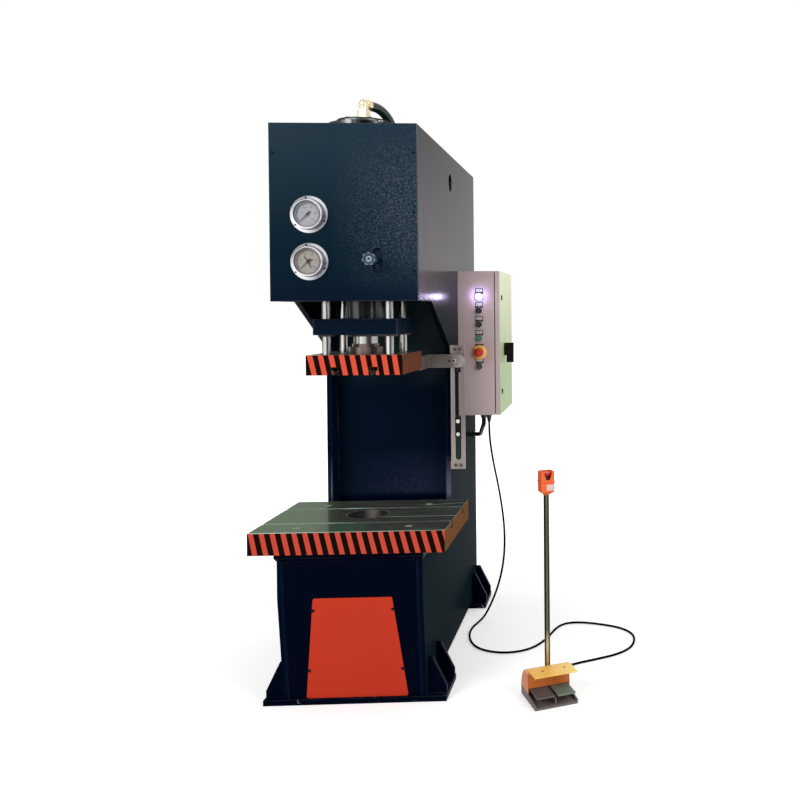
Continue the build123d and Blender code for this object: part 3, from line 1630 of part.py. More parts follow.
# Wiring
conduit, _ = tube_along(conduit_route(), conduit_r)
cable, cable_path = tube_along(cable_route(), cable_r)
save("cable_glands", *cable_glands())
save("conduit", conduit)
save("pedal_cable", cable)
print("cable radii", [round(radius) for radius in corner_radii(cable_route())])
print("cable length", round(cable_path.length), "volume ratio",
      round(cable.volume / (cable_path.length * math.pi * cable_r**2), 4))

# Inside the column
save("oil_tank", oil_tank())
save("motor_pump", motor_pump())

# Pedal unit
left_tread, right_tread = treads()
save("pedal_base", pedal_base())
save("pedal_guard", pedal_guard())
save("left_tread", left_tread)
save("right_tread", right_tread)
save("pedal_post", pedal_post())
save("stop_box", stop_box())
save("stop_button", stop_button())
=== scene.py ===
import math
import random

import bmesh
import bpy
from mathutils import Matrix, Vector


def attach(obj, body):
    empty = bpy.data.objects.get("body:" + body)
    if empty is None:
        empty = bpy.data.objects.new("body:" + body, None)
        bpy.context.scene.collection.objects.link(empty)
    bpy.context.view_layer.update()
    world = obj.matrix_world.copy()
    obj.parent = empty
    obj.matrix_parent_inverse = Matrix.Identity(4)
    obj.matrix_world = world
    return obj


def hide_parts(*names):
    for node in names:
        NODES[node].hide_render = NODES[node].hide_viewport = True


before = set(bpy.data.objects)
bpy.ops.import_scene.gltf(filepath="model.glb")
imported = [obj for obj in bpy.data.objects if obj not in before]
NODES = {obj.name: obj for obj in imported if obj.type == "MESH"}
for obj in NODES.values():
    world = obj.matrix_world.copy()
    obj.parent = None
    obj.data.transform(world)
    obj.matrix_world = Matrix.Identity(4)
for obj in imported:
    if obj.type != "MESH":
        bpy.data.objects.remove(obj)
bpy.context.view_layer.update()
random.seed(7)

X, Y, Z = Vector((1, 0, 0)), Vector((0, 1, 0)), Vector((0, 0, 1))

# Places on the press, metres: X to the right, Y away from the photograph's viewer, Z up
TABLE_FRONT, TABLE_HALF, BORE_RADIUS = -0.284, 0.335, 0.075
PLATEN_FRONT, PLATEN_HALF = -0.163, 0.17
WEB_HALF, WEB_FRONT, WEB_FOOT, WEB_TOP = 0.23, 0.421, 0.575, 1.55
SIDE_FACE, FOOT_TOP = 0.2503, 0.0205
DIAL_AT_X, DIAL_FACE_Y = -0.116, -0.289
DIAL_Z = (1.7235, 1.562)
KNOB_AT = (0.113, 1.565)
ARM_BOLT_AT = (0.27, 1.1850)
DEVICE_TOP, DEVICE_PITCH = 1.451, 0.0605
DEVICE_X = 0.3415
DEVICE_Z = [DEVICE_TOP - DEVICE_PITCH * k for k in range(6)]
CABINET_FRONT = 0.549
PRINT_DEPTH = 0.0002

# Tones and fades that several paints share; whole stripes are counted from beyond the left end
FRONT_FACES = (-0.8, -0.95)
EDGE_COSINES = (0.995, 0.9)
STREAK_FADE = (0.004, 0.0015)
STRIPES_BEFORE, STRIPE_EDGE = 20, 0.02
HAZARD_BLACK = (0.008, 0.004, 0.003)
LIT_EDGE_GREEN = (0.5, 0.66, 0.54)
GRIME = (0.08, 0.07, 0.06)
CABINET, CABINET_LIGHT = (0.48, 0.375, 0.38), (0.64, 0.52, 0.51)
NAVY_LOW, NAVY_MID, NAVY_HIGH = (0.0012, 0.0034, 0.013), (0.0009, 0.009, 0.0185), (0.0065, 0.0215, 0.036)
SIDE_LOW, SIDE_HIGH = (0.0055, 0.0138, 0.0185), (0.014, 0.013, 0.017)

# Tones laid over the frame's paint
BED_TONE, BLOCK_TONE, WEB_TONE = (0.0003, 0.0016, 0.0078), (0.002, 0.0075, 0.0175), (0.0011, 0.0055, 0.016)
WEB_REFLECTION, COVE_REFLECTION_TEAL, COVE_REFLECTION_GREY = (0.018, 0.025, 0.055), (0.014, 0.03, 0.03), (0.034, 0.046, 0.066)
LIT_DIMPLE, EDGE_HIGHLIGHT, SCUFFED_FOOT = (0.08, 0.09, 0.125), (0.12, 0.12, 0.17), (0.3, 0.3, 0.36)
INNER_WALL, THROAT_SHADE, CAUGHT_LIGHT = (0.002, 0.008, 0.022), (0.003, 0.0053, 0.0078), (0.17, 0.17, 0.26)
FLANK_REFLECTION, FLANK_SHADE = (0.1, 0.085, 0.098), (0.02, 0.024, 0.045)

# Tones laid over the table's and the platen's steel
TABLE_DARK_REFLECTION, TABLE_GREEN_REFLECTION, STREAK_LIGHT = (0.048, 0.042, 0.046), (0.06, 0.11, 0.075), (0.36, 0.55, 0.42)
BORE_SHADE, BORE_LIT, SLOT_WALL_HIGHLIGHT = (0.03, 0.03, 0.03), (0.2, 0.18, 0.17), (0.42, 0.6, 0.47)
SIDE_TAPE, SIDE_GRIME, CHIPPED = (0.05, 0.022, 0.016), (0.09, 0.055, 0.035), (0.12, 0.1, 0.09)

# Camera at the photograph's viewpoint, metres and radians
CAM_AT = Vector((0.91606, -3.50798, 1.39233))
CAM_YAW, CAM_PITCH, CAM_ROLL = 0.0552, -0.0144, -0.006
CAM_LENS, CAM_SHIFT = 41.589, (-0.3283, -0.0971)
CAM_SENSOR, CAM_FAR = 36, 60


def place_camera():
    fwd = Vector((
        math.sin(CAM_YAW) * math.cos(CAM_PITCH),
        math.cos(CAM_YAW) * math.cos(CAM_PITCH),
        math.sin(CAM_PITCH),
    ))
    right = Vector((math.cos(CAM_YAW), -math.sin(CAM_YAW), 0))
    up = right.cross(fwd)
    side = math.cos(CAM_ROLL) * right + math.sin(CAM_ROLL) * up
    top = -math.sin(CAM_ROLL) * right + math.cos(CAM_ROLL) * up
    data = bpy.data.cameras.new("camera")
    data.lens, data.sensor_width = CAM_LENS, CAM_SENSOR
    data.shift_x, data.shift_y = CAM_SHIFT
    data.clip_end = CAM_FAR
    camera = bpy.data.objects.new("camera", data)
    bpy.context.collection.objects.link(camera)
    turn = Matrix((side, top, -fwd)).transposed().to_4x4()
    camera.matrix_world = Matrix.Translation(CAM_AT) @ turn
    bpy.context.scene.camera = camera


# Node materials
def empty_tree(owner):
    """Cleared node tree of a material or a world."""
    owner.use_nodes = True
    owner.node_tree.nodes.clear()
    return owner.node_tree


def spread(tree, source, low, high, to_low, to_high):
    """Map one range onto another, held at both ends."""
    node = tree.nodes.new("ShaderNodeMapRange")
    for name, value in zip(("From Min", "From Max", "To Min", "To Max"), (low, high, to_low, to_high)):
        node.inputs[name].default_value = value
    tree.links.new(source, node.inputs["Value"])
    return node.outputs[0]


def shade(color, share):
    return tuple(c * share for c in color)


class Paint:
    """A node material around one Principled shader, with the few patterns the press needs."""

    def __init__(self, name, color, rough, metal=0.0, spec=0.5):
        self.mat = bpy.data.materials.new(name)
        self.tree = empty_tree(self.mat)
        out = self.tree.nodes.new("ShaderNodeOutputMaterial")
        self.bsdf = self.tree.nodes.new("ShaderNodeBsdfPrincipled")
        self.join(self.bsdf.outputs[0], out.inputs[0])
        self.set("Base Color", (*color, 1))
        self.set("Roughness", rough)
        self.set("Metallic", metal)
        self.set("Specular IOR Level", spec)
        self.coords = self.tree.nodes.new("ShaderNodeTexCoord").outputs["Object"]
        self.color = self.value(color)

    def set(self, socket, value):
        self.bsdf.inputs[socket].default_value = value

    def join(self, output, target):
        self.tree.links.new(output, target)

    def value(self, color):
        node = self.tree.nodes.new("ShaderNodeRGB")
        node.outputs[0].default_value = (*color, 1)
        return node.outputs[0]

    def math(self, kind, a, b=0.0):
        node = self.tree.nodes.new("ShaderNodeMath")
        node.operation = kind
        for socket, value in zip(node.inputs, (a, b)):
            if isinstance(value, (int, float)):
                socket.default_value = value
            else:
                self.join(value, socket)
        return node.outputs[0]

    def times(self, *factors):
        product = factors[0]
        for factor in factors[1:]:
            product = self.math("MULTIPLY", product, factor)
        return product

    def axis(self, letter):
        node = self.tree.nodes.new("ShaderNodeSeparateXYZ")
        self.join(self.coords, node.inputs[0])
        return node.outputs[letter]

    def facing(self, letter):
        """Component of the surface's normal along an axis of the part."""
        node = self.tree.nodes.new("ShaderNodeTexCoord")
        parts = self.tree.nodes.new("ShaderNodeSeparateXYZ")
        self.join(node.outputs["Normal"], parts.inputs[0])
        return parts.outputs[letter]

    def stretched(self, scale):
        node = self.tree.nodes.new("ShaderNodeMapping")
        node.inputs["Scale"].default_value = scale
        self.join(self.coords, node.inputs["Vector"])
        return node.outputs[0]

    def noise(self, scale, detail=4.0, rough=0.55, stretch=None):
        node = self.tree.nodes.new("ShaderNodeTexNoise")
        node.inputs["Scale"].default_value = scale
        node.inputs["Detail"].default_value = detail
        node.inputs["Roughness"].default_value = rough
        self.join(self.stretched(stretch) if stretch else self.coords, node.inputs["Vector"])
        return node.outputs[0]

    def cells(self, scale, feature="F1"):
        """Distance from the middle of the nearest cell."""
        node = self.tree.nodes.new("ShaderNodeTexVoronoi")
        node.feature = feature
        node.inputs["Scale"].default_value = scale
        self.join(self.coords, node.inputs["Vector"])
        return node.outputs["Distance"]

    def span(self, source, low, high, to_low=0.0, to_high=1.0):
        return spread(self.tree, source, low, high, to_low, to_high)

    def along(self, letter, low, high, to_low=0.0, to_high=1.0):
        """Fade between two places on an axis of the part."""
        return self.span(self.axis(letter), low, high, to_low, to_high)

    def toward(self, letter, low, high):
        """Fade by how far the surface faces along an axis of the part."""
        return self.span(self.facing(letter), low, high)

    def band(self, letter, rise, fall):
        """Factor that is 1 between two fades on an axis of the part."""
        return self.times(self.along(letter, *rise), self.along(letter, *fall))

    def off(self, letter, place=0.0):
        """Distance from a plane across an axis of the part."""
        return self.math("ABSOLUTE", self.math("SUBTRACT", self.axis(letter), place))

    def blend(self, factor, other):
        """Lay another colour over what is there, by a factor."""
        node = self.tree.nodes.new("ShaderNodeMix")
        node.data_type = "RGBA"
        self.join(factor, node.inputs[0])
        self.join(self.color, node.inputs[6])
        node.inputs[7].default_value = (*other, 1)
        self.color = node.outputs[2]
        return self

    def roughness(self, source):
        self.join(source, self.bsdf.inputs["Roughness"])

    def metallic(self, source):
        self.join(source, self.bsdf.inputs["Metallic"])

    def bump(self, height, strength, distance, edge=0.0):
        node = self.tree.nodes.new("ShaderNodeBump")
        node.inputs["Strength"].default_value = strength
        node.inputs["Distance"].default_value = distance
        self.join(height, node.inputs["Height"])
        if edge:
            self.join(self.rounded(edge), node.inputs["Normal"])
        self.join(node.outputs[0], self.bsdf.inputs["Normal"])

    def rounded(self, radius):
        """The surface's normal with its sharp edges rounded."""
        node = self.tree.nodes.new("ShaderNodeBevel")
        node.samples = 4
        node.inputs["Radius"].default_value = radius
        return node.outputs[0]

    def worn_or_lit_edges(self, radius):
        """Factor that is 1 near sharp edges, used for wear and for painted edge highlights: the rounded
        normal leaves the true one there.
        """
        geometry = self.tree.nodes.new("ShaderNodeNewGeometry")
        dot = self.tree.nodes.new("ShaderNodeVectorMath")
        dot.operation = "DOT_PRODUCT"
        self.join(self.rounded(radius), dot.inputs[0])
        self.join(geometry.outputs["Normal"], dot.inputs[1])
        return self.span(dot.outputs["Value"], *EDGE_COSINES)

    def done(self):
        self.join(self.color, self.bsdf.inputs["Base Color"])
        return self.mat


def front_tones(p):
    """What the front picks up: darker bed, greyer guide block, a painted bluish reflection on the web, and
    painted teal and grey reflections in the cove under the head.
    """
    p.blend(p.along("Z", 0.64, 0.58), BED_TONE)
    block = p.times(p.band("Z", (1.26, 1.29), (1.39, 1.37)), p.along("Y", 0.25, 0.2))
    p.blend(block, BLOCK_TONE)
    web = p.times(p.toward("Y", *FRONT_FACES), p.along("Y", WEB_FRONT - 0.021, WEB_FRONT - 0.011))
    p.blend(p.times(web, p.along("Z", 0.61, 0.62)), WEB_TONE)
    # Painted bluish reflection on the web just above the table
    reflection_mask = p.times(p.band("Z", (0.82, 0.66), (0.618, 0.635)), p.along("X", -0.2, 0.12, 0.25, 1.0))
    reflection_mask = p.times(reflection_mask, p.span(p.noise(110, 4, 0.7), 0.35, 0.65, 0.35, 1.0))
    p.blend(p.times(web, reflection_mask), WEB_REFLECTION)
    # Painted reflection in the cove under the head: teal, greyer towards the right
    cove = p.times(web, p.along("Z", 1.06, 1.28), p.span(p.noise(9, 4, 0.6), 0.3, 0.65, 0.5, 1.0))
    p.blend(cove, COVE_REFLECTION_TEAL)
    p.blend(p.times(cove, p.along("X", 0.05, 0.15)), COVE_REFLECTION_GREY)


def frame_paint(name, low, mid, high, gloss, rough, speckle=0.3, tones=None):
    """Hammertone enamel, lighter and glossier on the head, with fine dimples, painted glints on the lit
    dimples and painted highlights along its edges.
    """
    gloss_low, gloss_head, gloss_top = gloss
    p = Paint(name, low, rough)
    head = p.along("Z", 1.2, 1.5)
    p.blend(head, high)
    shine = p.math("ADD", p.span(head, 0, 1, gloss_low, gloss_head), p.along("Z", 1.6, 2.03, 0.0, gloss_top))
    p.join(shine, p.bsdf.inputs["Specular IOR Level"])
    drift = p.span(p.noise(2.2, 3), 0.35, 0.7, 0.0, 0.5)
    p.blend(drift, tuple(1.3 * (a + b) / 2 for a, b in zip(low, high)))
    p.blend(p.times(p.along("Z", 1.97, 1.62), p.along("X", 0.22, 0.0, 0.2, 0.9)), mid)
    p.blend(p.along("Z", 1.55, 1.34), low)
    if tones:
        tones(p)
    # Painted glints of the lamp on the dimples, on the lit right part of the head's front
    lit = p.times(p.along("X", -0.05, 0.2), p.along("Z", 1.45, 1.65), p.along("Z", 2.0, 1.85, 0.3, 1.0))
    glints = p.times(p.span(p.noise(190, 4, 0.75), 0.47, 0.62), lit, p.toward("Y", *FRONT_FACES))
    p.blend(p.times(glints, 0.75), LIT_DIMPLE)
    # Painted highlights along the sharp edges, stronger higher up
    edge = p.times(p.worn_or_lit_edges(0.005), p.span(p.noise(9, 4), 0.35, 0.6))
    p.blend(p.times(edge, p.along("Z", 0.5, 0.75, 0.22, 0.55)), EDGE_HIGHLIGHT)
    foot = p.times(p.along("Z", 0.024, 0.019), p.span(p.noise(26, 6, 0.7), 0.6, 0.68))
    p.blend(p.times(foot, 0.7), SCUFFED_FOOT)
    p.roughness(p.span(p.noise(5, 4), 0.3, 0.75, rough * 0.75, rough * 1.35))
    dimples = p.math("ADD", p.cells(230, feature="SMOOTH_F1"), p.noise(120, 3))
    p.bump(dimples, speckle, 0.0012, edge=0.003)
    return p


def column_sheen(p):
    """Side plates: front edges dark as the front, painted shade under the throat, light caught above the
    table, a painted streaky reflection on the head's flank with painted shade at its lower rear.
    """
    front = p.toward("Y", -0.9, -0.97)
    p.blend(p.times(front, p.along("Z", 1.3, 1.25)), NAVY_LOW)
    inner = p.times(p.span(p.off("X"), 0.24, 0.232), p.along("Z", 1.42, 1.3))
    p.blend(inner, INNER_WALL)
    # Painted shade on the faces that turn downwards at the throat and under the head
    slope = p.times(p.toward("Z", -0.2, -0.4), p.along("Z", 0.9, 1.0))
    p.blend(slope, THROAT_SHADE)
    place = p.times(p.along("Y", 0.30, 0.335), front, p.band("Z", (0.8, 0.66), (0.6, 0.64)))
    left = p.span(p.off("X", -0.234), 0.004, 0.0025, 0.0, 0.8)
    lit_edge = p.math("MAXIMUM", p.along("X", 0.2, 0.24, 0.08, 1.0), left)
    p.blend(p.times(place, lit_edge, 0.6), CAUGHT_LIGHT)
    # Painted reflection on the head's flank, in vertical streaks
    flank = p.times(p.toward("X", 0.9, 0.97), p.along("Z", 1.40, 1.47))
    reflection_mask = p.times(p.along("Z", 1.98, 1.6), p.along("Y", 0.9, -0.2, 0.15, 1.0))
    reflection_streaks = p.span(p.noise(46, 5, 0.7, (1, 1, 0.09)), 0.38, 0.66, 0.55, 1.0)
    p.blend(p.times(flank, reflection_mask, reflection_streaks), FLANK_REFLECTION)
    smooth = p.span(p.noise(5, 4), 0.3, 0.75, 0.07, 0.12)
    p.roughness(p.math("ADD", smooth, p.times(p.along("Z", 1.6, 1.5), 0.1)))
    lower_rear = p.times(p.along("Z", 1.54, 1.45), p.along("Y", 0.1, 0.25))
    return p.blend(p.times(flank, lower_rear, 0.8), FLANK_SHADE)


def plain_paint(name, color, rough=0.4, spec=0.2, amount=0.25, edge=0.0012):
    """Smooth enamel with orange peel, a little grime and edge wear."""
    p = Paint(name, color, rough, spec=spec)
    p.blend(p.span(p.noise(3.0, 4), 0.35, 0.7, 0.0, 0.35), shade(color, 0.82))
    p.blend(p.span(p.noise(24, 6, 0.65), 0.6, 0.78, 0.0, amount), GRIME)
    p.roughness(p.span(p.noise(9, 4), 0.3, 0.75, rough * 0.8, rough * 1.25))
    p.bump(p.noise(180, 2), 0.06, 0.0006, edge=edge)
    return p.done()


def steel(name, color, rough=0.25, scale=90, amount=0.25, edge=0.0, tint=None):
    """Machined or plated steel with fine marks and faint stains."""
    p = Paint(name, color, rough, metal=1.0)
    p.blend(p.span(p.noise(scale, 4, 0.6), 0.4, 0.65, 0.0, amount), shade(color, 0.6))
    p.blend(p.span(p.noise(7, 5), 0.55, 0.75, 0.0, amount), shade(color, 0.75))
    p.roughness(p.span(p.noise(scale * 0.6, 4, 0.6), 0.3, 0.7, rough * 0.7, rough * 1.4))
    p.bump(p.noise(scale * 3, 2, 0.5), 0.05, 0.0004, edge=edge)
    if tint:
        p.set("Specular Tint", (*tint, 1))
    return p.done()


def plastic(name, color, rough=0.35, grain=0.1, spec=0.4):
    """Moulded plastic or rubber with a fine grain."""
    p = Paint(name, color, rough, spec=spec)
    p.blend(p.span(p.noise(60, 4), 0.45, 0.7, 0.0, 0.3), tuple(c * 1.5 + 0.008 for c in color))
    p.roughness(p.span(p.noise(30, 3), 0.3, 0.7, rough * 0.8, rough * 1.2))
    p.bump(p.noise(900, 2), grain, 0.0003, edge=0.0006)
    return p.done()


def stripes(p, letter, pattern):
    """Factor that is 1 on the red bands of a warning stripe, whose lean drifts along the edge."""
    pitch, start, share, level, lean, drift = pattern
    above = p.math("SUBTRACT", p.axis("Z"), level)
    slope = p.math("ADD", p.times(p.axis("X"), drift), lean)
    across = p.math("ADD", p.axis(letter), p.times(above, slope))
    counted = p.math("DIVIDE", p.math("ADD", across, STRIPES_BEFORE * pitch - start), pitch)
    turn = p.math("FRACT", counted)
    return p.times(p.span(turn, 0.0, STRIPE_EDGE), p.span(turn, share, share + STRIPE_EDGE, 1.0, 0.0))


def mirrored_tones(p):
    """Table top with painted reflections: green and light at the left, plum dark at the right, with two
    light streaks.
    """
    # Painted reflection of the dark press on the right part of the top, green towards the front
    bend = p.math("ADD", p.axis("X"), p.times(p.axis("Y"), 0.22))
    reflected_dark = p.times(p.span(bend, -0.19, -0.1), p.span(p.noise(7, 4, 0.6, (1, 2, 1)), 0.3, 0.6, 0.6, 1.0))
    p.blend(reflected_dark, TABLE_DARK_REFLECTION)
    fore = p.times(reflected_dark, p.along("Y", -0.1, -0.16), p.along("X", 0.07, 0.02))
    p.blend(p.times(fore, 0.8), TABLE_GREEN_REFLECTION)
    streak = p.times(p.span(p.off("Y", -0.052), *STREAK_FADE), p.along("X", 0.04, 0.1))
    rear = p.math("SUBTRACT", p.axis("Y"), p.times(p.axis("X"), 0.21))
    rear_off = p.math("ABSOLUTE", p.math("SUBTRACT", rear, 0.107))
    rear_streak = p.times(p.span(rear_off, *STREAK_FADE), p.along("X", 0.15, 0.2))
    p.blend(p.times(p.math("MAXIMUM", streak, rear_streak), 0.8), STREAK_LIGHT)


def table_openings(p, front_y):
    """Bore with painted shade, lit at its middle, and painted highlights on the rear walls of the slots."""
    # Painted shade inside the bore, with painted light at its middle
    inside = p.times(p.span(p.math("ABSOLUTE", p.facing("Z")), 0.6, 0.4),
                     near_point(p, 0.0, 0.0, BORE_RADIUS + 0.0005, BORE_RADIUS + 0.001, "Y"))
    p.blend(inside, BORE_SHADE)
    p.blend(p.times(inside, p.span(p.off("X"), 0.035, 0.0)), BORE_LIT)
    # Painted highlights on the rear walls of the slots
    wall = p.times(p.span(p.math("ABSOLUTE", p.facing("Y")), 0.985, 0.995),
                   p.along("Y", front_y + 0.003, front_y + 0.004))
    wall = p.times(wall, near_point(p, 0.0, 0.0, BORE_RADIUS, BORE_RADIUS + 0.005, "Y", 0.0, 1.0))
    wall = p.times(wall, p.span(p.off("X"), TABLE_HALF - 0.004, TABLE_HALF - 0.007))
    wall = p.times(wall, p.along("X", 0.0, -0.1, 0.2, 1.0), p.along("Y", -0.05, 0.05, 0.6, 1.0))
    p.blend(p.times(wall, p.span(p.noise(6, 3), 0.4, 0.55, 0.35, 1.0)), SLOT_WALL_HIGHLIGHT)


def striped_steel(name, front_y, side_x, pattern, red, side_color, side_striped, base, rough, metal):
    """Ground steel block whose front (and sides) carry painted warning stripes."""
    p = Paint(name, base, rough, metal=metal, spec=0.0)
    p.blend(p.span(p.noise(60, 5, 0.6, (1, 14, 1)), 0.42, 0.7, 0.0, 0.3), shade(base, 0.65))
    p.blend(p.span(p.noise(4, 4), 0.5, 0.75, 0.0, 0.4), shade(base, 0.7))
    if not side_striped:
        mirrored_tones(p)
    upward = p.toward("Z", 0.5, 0.9)
    # Painted highlights: a light band along the front lip of the top and light lines on its upper edges
    lip = p.times(upward, p.along("Y", front_y + 0.014, front_y + 0.009))
    p.blend(p.times(lip, p.span(p.noise(9, 3), 0.35, 0.55, 0.3, 0.9)), LIT_EDGE_GREEN)
    rim = p.times(p.worn_or_lit_edges(0.0035), upward)
    p.blend(p.times(rim, 0.8), LIT_EDGE_GREEN)
    table_openings(p, front_y)
    front = p.times(p.toward("Y", -0.9, -0.95), p.along("Y", front_y + 0.002, front_y + 0.001))
    side = p.span(p.math("ABSOLUTE", p.facing("X")), 0.9, 0.95)
    side = p.times(side, p.span(p.off("X"), side_x - 0.002, side_x - 0.001))
    painted = p.math("MAXIMUM", front, side)
    p.blend(front, HAZARD_BLACK)
    p.blend(p.times(front, stripes(p, "X", pattern)), red)
    p.blend(side, side_color)
    if side_striped:
        pitch, start, _, level, lean, _ = pattern
        tape = stripes(p, "Y", (pitch * 0.7, start, 0.4, level, lean, 0.0))
        p.blend(p.times(side, tape), SIDE_TAPE)
    grime = p.times(side, p.span(p.noise(30, 5, 0.6, (1, 3, 1)), 0.45, 0.7, 0.0, 0.6))
    p.blend(grime, SIDE_GRIME)
    chips = p.times(p.worn_or_lit_edges(0.003), p.span(p.noise(90, 5), 0.55, 0.6))
    p.blend(p.times(chips, painted), CHIPPED)
    p.metallic(p.span(painted, 0, 1, metal, 0))
    fine = p.span(p.noise(25, 4), 0.3, 0.7, rough * 0.7, rough * 1.5)
    p.roughness(p.math("ADD", fine, p.times(painted, 0.3)))
    p.bump(p.noise(300, 2, 0.5, (1, 6, 1)), 0.04, 0.0004, edge=0.0012)
    return p.done()


def radius_from(p, x, z, second="Z"):
    """Distance from an axis along Y, or along Z where the second letter is Y."""
    dx, dz = p.math("SUBTRACT", p.axis("X"), x), p.math("SUBTRACT", p.axis(second), z)
    return p.math("SQRT", p.math("ADD", p.times(dx, dx), p.times(dz, dz)))


def near_point(p, x, z, inner, outer, second="Z", near=1.0, far=0.0):
    """Factor that fades with that distance, from 1 to 0 unless said otherwise."""
    return p.span(radius_from(p, x, z, second), inner, outer, near, far)


# Mesh helpers
def piece(name, mesh, mat, body="frame", slot=None, smooth=True):
    mesh.materials.append(mat)
    for polygon in mesh.polygons:
        polygon.use_smooth = smooth
    obj = bpy.data.objects.new(name, mesh)
    bpy.context.collection.objects.link(obj)
    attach(obj, body)


def shaped(name, bm, mat, **how):
    """Piece made of a finished bmesh."""
    mesh = bpy.data.meshes.new(name)
    bmesh.ops.recalc_face_normals(bm, faces=bm.faces)
    bm.to_mesh(mesh)
    bm.free()
    piece(name, mesh, mat, **how)


def turns(count):
    return [2 * math.pi * k / count for k in range(count)]


def circle(radius, count):
    return [(radius * math.cos(t), radius * math.sin(t)) for t in turns(count)]


def rectangle(left, right, low, high):
    return [(left, low), (right, low), (right, high), (left, high)]


def bridge(bm, rings):
    """Faces between each ring of points and the next."""
    count = len(rings[0])
    for low, high in zip(rings, rings[1:]):
        for k in range(count):
            bm.faces.new((low[k], low[(k + 1) % count], high[(k + 1) % count], high[k]))


def add_ring(bm, centre, axis_a, axis_b, radius, count):
    return [bm.verts.new(centre + radius * (math.cos(t) * axis_a + math.sin(t) * axis_b))
            for t in turns(count)]


def add_tube(bm, points, radii, count=8):
    """Closed tube through points, one radius each, with steady side directions."""
    rings = []
    for k, point in enumerate(points):
        ahead = points[min(k + 1, len(points) - 1)] - points[max(k - 1, 0)]
        ahead.normalize()
        helper = Vector((0, 0, 1)) if abs(ahead.z) < 0.9 else Vector((1, 0, 0))
        a = ahead.cross(helper).normalized()
        b = ahead.cross(a).normalized()
        rings.append(add_ring(bm, point, a, b, radii[k], count))
    bridge(bm, rings)
    bm.faces.new(rings[0])
    bm.faces.new(rings[-1])


def add_prism(bm, outline, near, far, x_dir, y_dir, z_dir, origin):
    """Extrude a 2D outline between two offsets along z_dir."""
    rows = [
        [bm.verts.new(origin + x * x_dir + y * y_dir + offset * z_dir) for x, y in outline]
        for offset in (near, far)
    ]
    bridge(bm, rows)
    bm.faces.new(rows[0])
    bm.faces.new(rows[1])


def text_mesh(name, words, size, at, right, up):
    """Raised lettering lying in the plane of two directions, centred on a point."""
    curve = bpy.data.curves.new(name, "FONT")
    curve.body = words
    curve.size = size
    curve.extrude = PRINT_DEPTH
    curve.resolution_u = 2
    curve.align_x, curve.align_y = "CENTER", "CENTER"
    holder = bpy.data.objects.new(name + "_curve", curve)
    bpy.context.collection.objects.link(holder)
    bpy.context.view_layer.update()
    mesh = bpy.data.meshes.new_from_object(holder)
    bpy.data.objects.remove(holder)
    turn = Matrix((right, up, right.cross(up))).transposed().to_4x4()
    mesh.transform(Matrix.Translation(at) @ turn)
    return mesh


place_camera()

# Materials of the carried-over nodes
navy = frame_paint("navy_hammertone", NAVY_LOW, NAVY_MID, NAVY_HIGH, (0.01, 0.022, 0.03), 0.3,
                   tones=front_tones).done()
side_navy = column_sheen(frame_paint("side_hammertone", SIDE_LOW, SIDE_LOW, SIDE_HIGH,
                                     (0.0002, 0.0145, -0.0055), 0.09, speckle=0.05)).done()
machine_dark = plain_paint("dark_enamel", (0.01, 0.012, 0.018), rough=0.35, spec=0.1)
cover_red = plain_paint("cover_red", (0.51, 0.038, 0.016), rough=0.45, spec=0.06, amount=0.1)
# Stripe patterns: pitch, start, share of red, height of the band, lean, drift of the lean
TABLE_STRIPES = (0.03649, -0.3298, 0.475, 0.619, 0.236, 0.13)
PLATEN_STRIPES = (0.03695, -0.163, 0.5, 1.223, 0.187, -0.26)
table_mat = striped_steel("table_ground_steel", TABLE_FRONT, TABLE_HALF, TABLE_STRIPES,
                          red=(0.5, 0.062, 0.038), side_color=(0.2, 0.085, 0.032), side_striped=False,
                          base=(0.085, 0.135, 0.065), rough=0.13, metal=0.25)
platen_mat = striped_steel("platen_steel", PLATEN_FRONT, PLATEN_HALF, PLATEN_STRIPES,
                           red=(0.62, 0.078, 0.042), side_color=(0.24, 0.075, 0.035), side_striped=True,
                           base=(0.2, 0.19, 0.18), rough=0.3, metal=0.8)


def bar_steel():
    """Brushed pinkish grey bar stock, lighter towards its edges."""
    p = Paint("bright_bar_steel", (0.38, 0.33, 0.31), 0.38, metal=0.3, spec=0.1)
    p.blend(p.along("X", 0.258, 0.285), (0.25, 0.21, 0.2))
    p.blend(p.span(p.noise(40, 4, 0.6, (1, 1, 0.1)), 0.4, 0.65, 0.0, 0.5), (0.19, 0.155, 0.145))
    p.blend(p.along("Z", 0.95, 0.8, 0.0, 0.6), (0.4, 0.35, 0.32))
    p.blend(p.times(p.worn_or_lit_edges(0.002), 0.7), (0.6, 0.55, 0.5))
    p.bump(p.noise(200, 3, 0.5, (1, 1, 0.2)), 0.05, 0.0004, edge=0.001)
    return p.done()


def turned_chrome(name, bright_color, dark_color, rough, side=-0.15, streak=0.3, foot=None):
    """Polished round stock with painted reflections: bright along one line of its girth, dark towards its
    flanks.
    """
    p = Paint(name, bright_color, rough, metal=0.9, spec=0.02)
    lean = p.math("ABSOLUTE", p.math("SUBTRACT", p.facing("X"), side))
    p.blend(p.span(lean, 0.18, 0.5), dark_color)
    p.blend(p.span(lean, 0.72, 0.85, 0.0, 0.5), bright_color)
    p.blend(p.span(p.noise(120, 3, 0.6, (1, 1, 0.02)), 0.45, 0.6, 0.0, streak), dark_color)
    # Painted warm reflection near the foot
    if foot:
        p.blend(p.times(p.span(lean, 0.6, 0.3), p.along("Z", 0.235, 0.18)), foot)
    p.roughness(p.span(p.noise(60, 4), 0.3, 0.7, rough * 0.7, rough * 1.4))
    p.bump(p.noise(300, 2, 0.5, (1, 1, 0.05)), 0.03, 0.0003, edge=0.0008)
    return p.done()


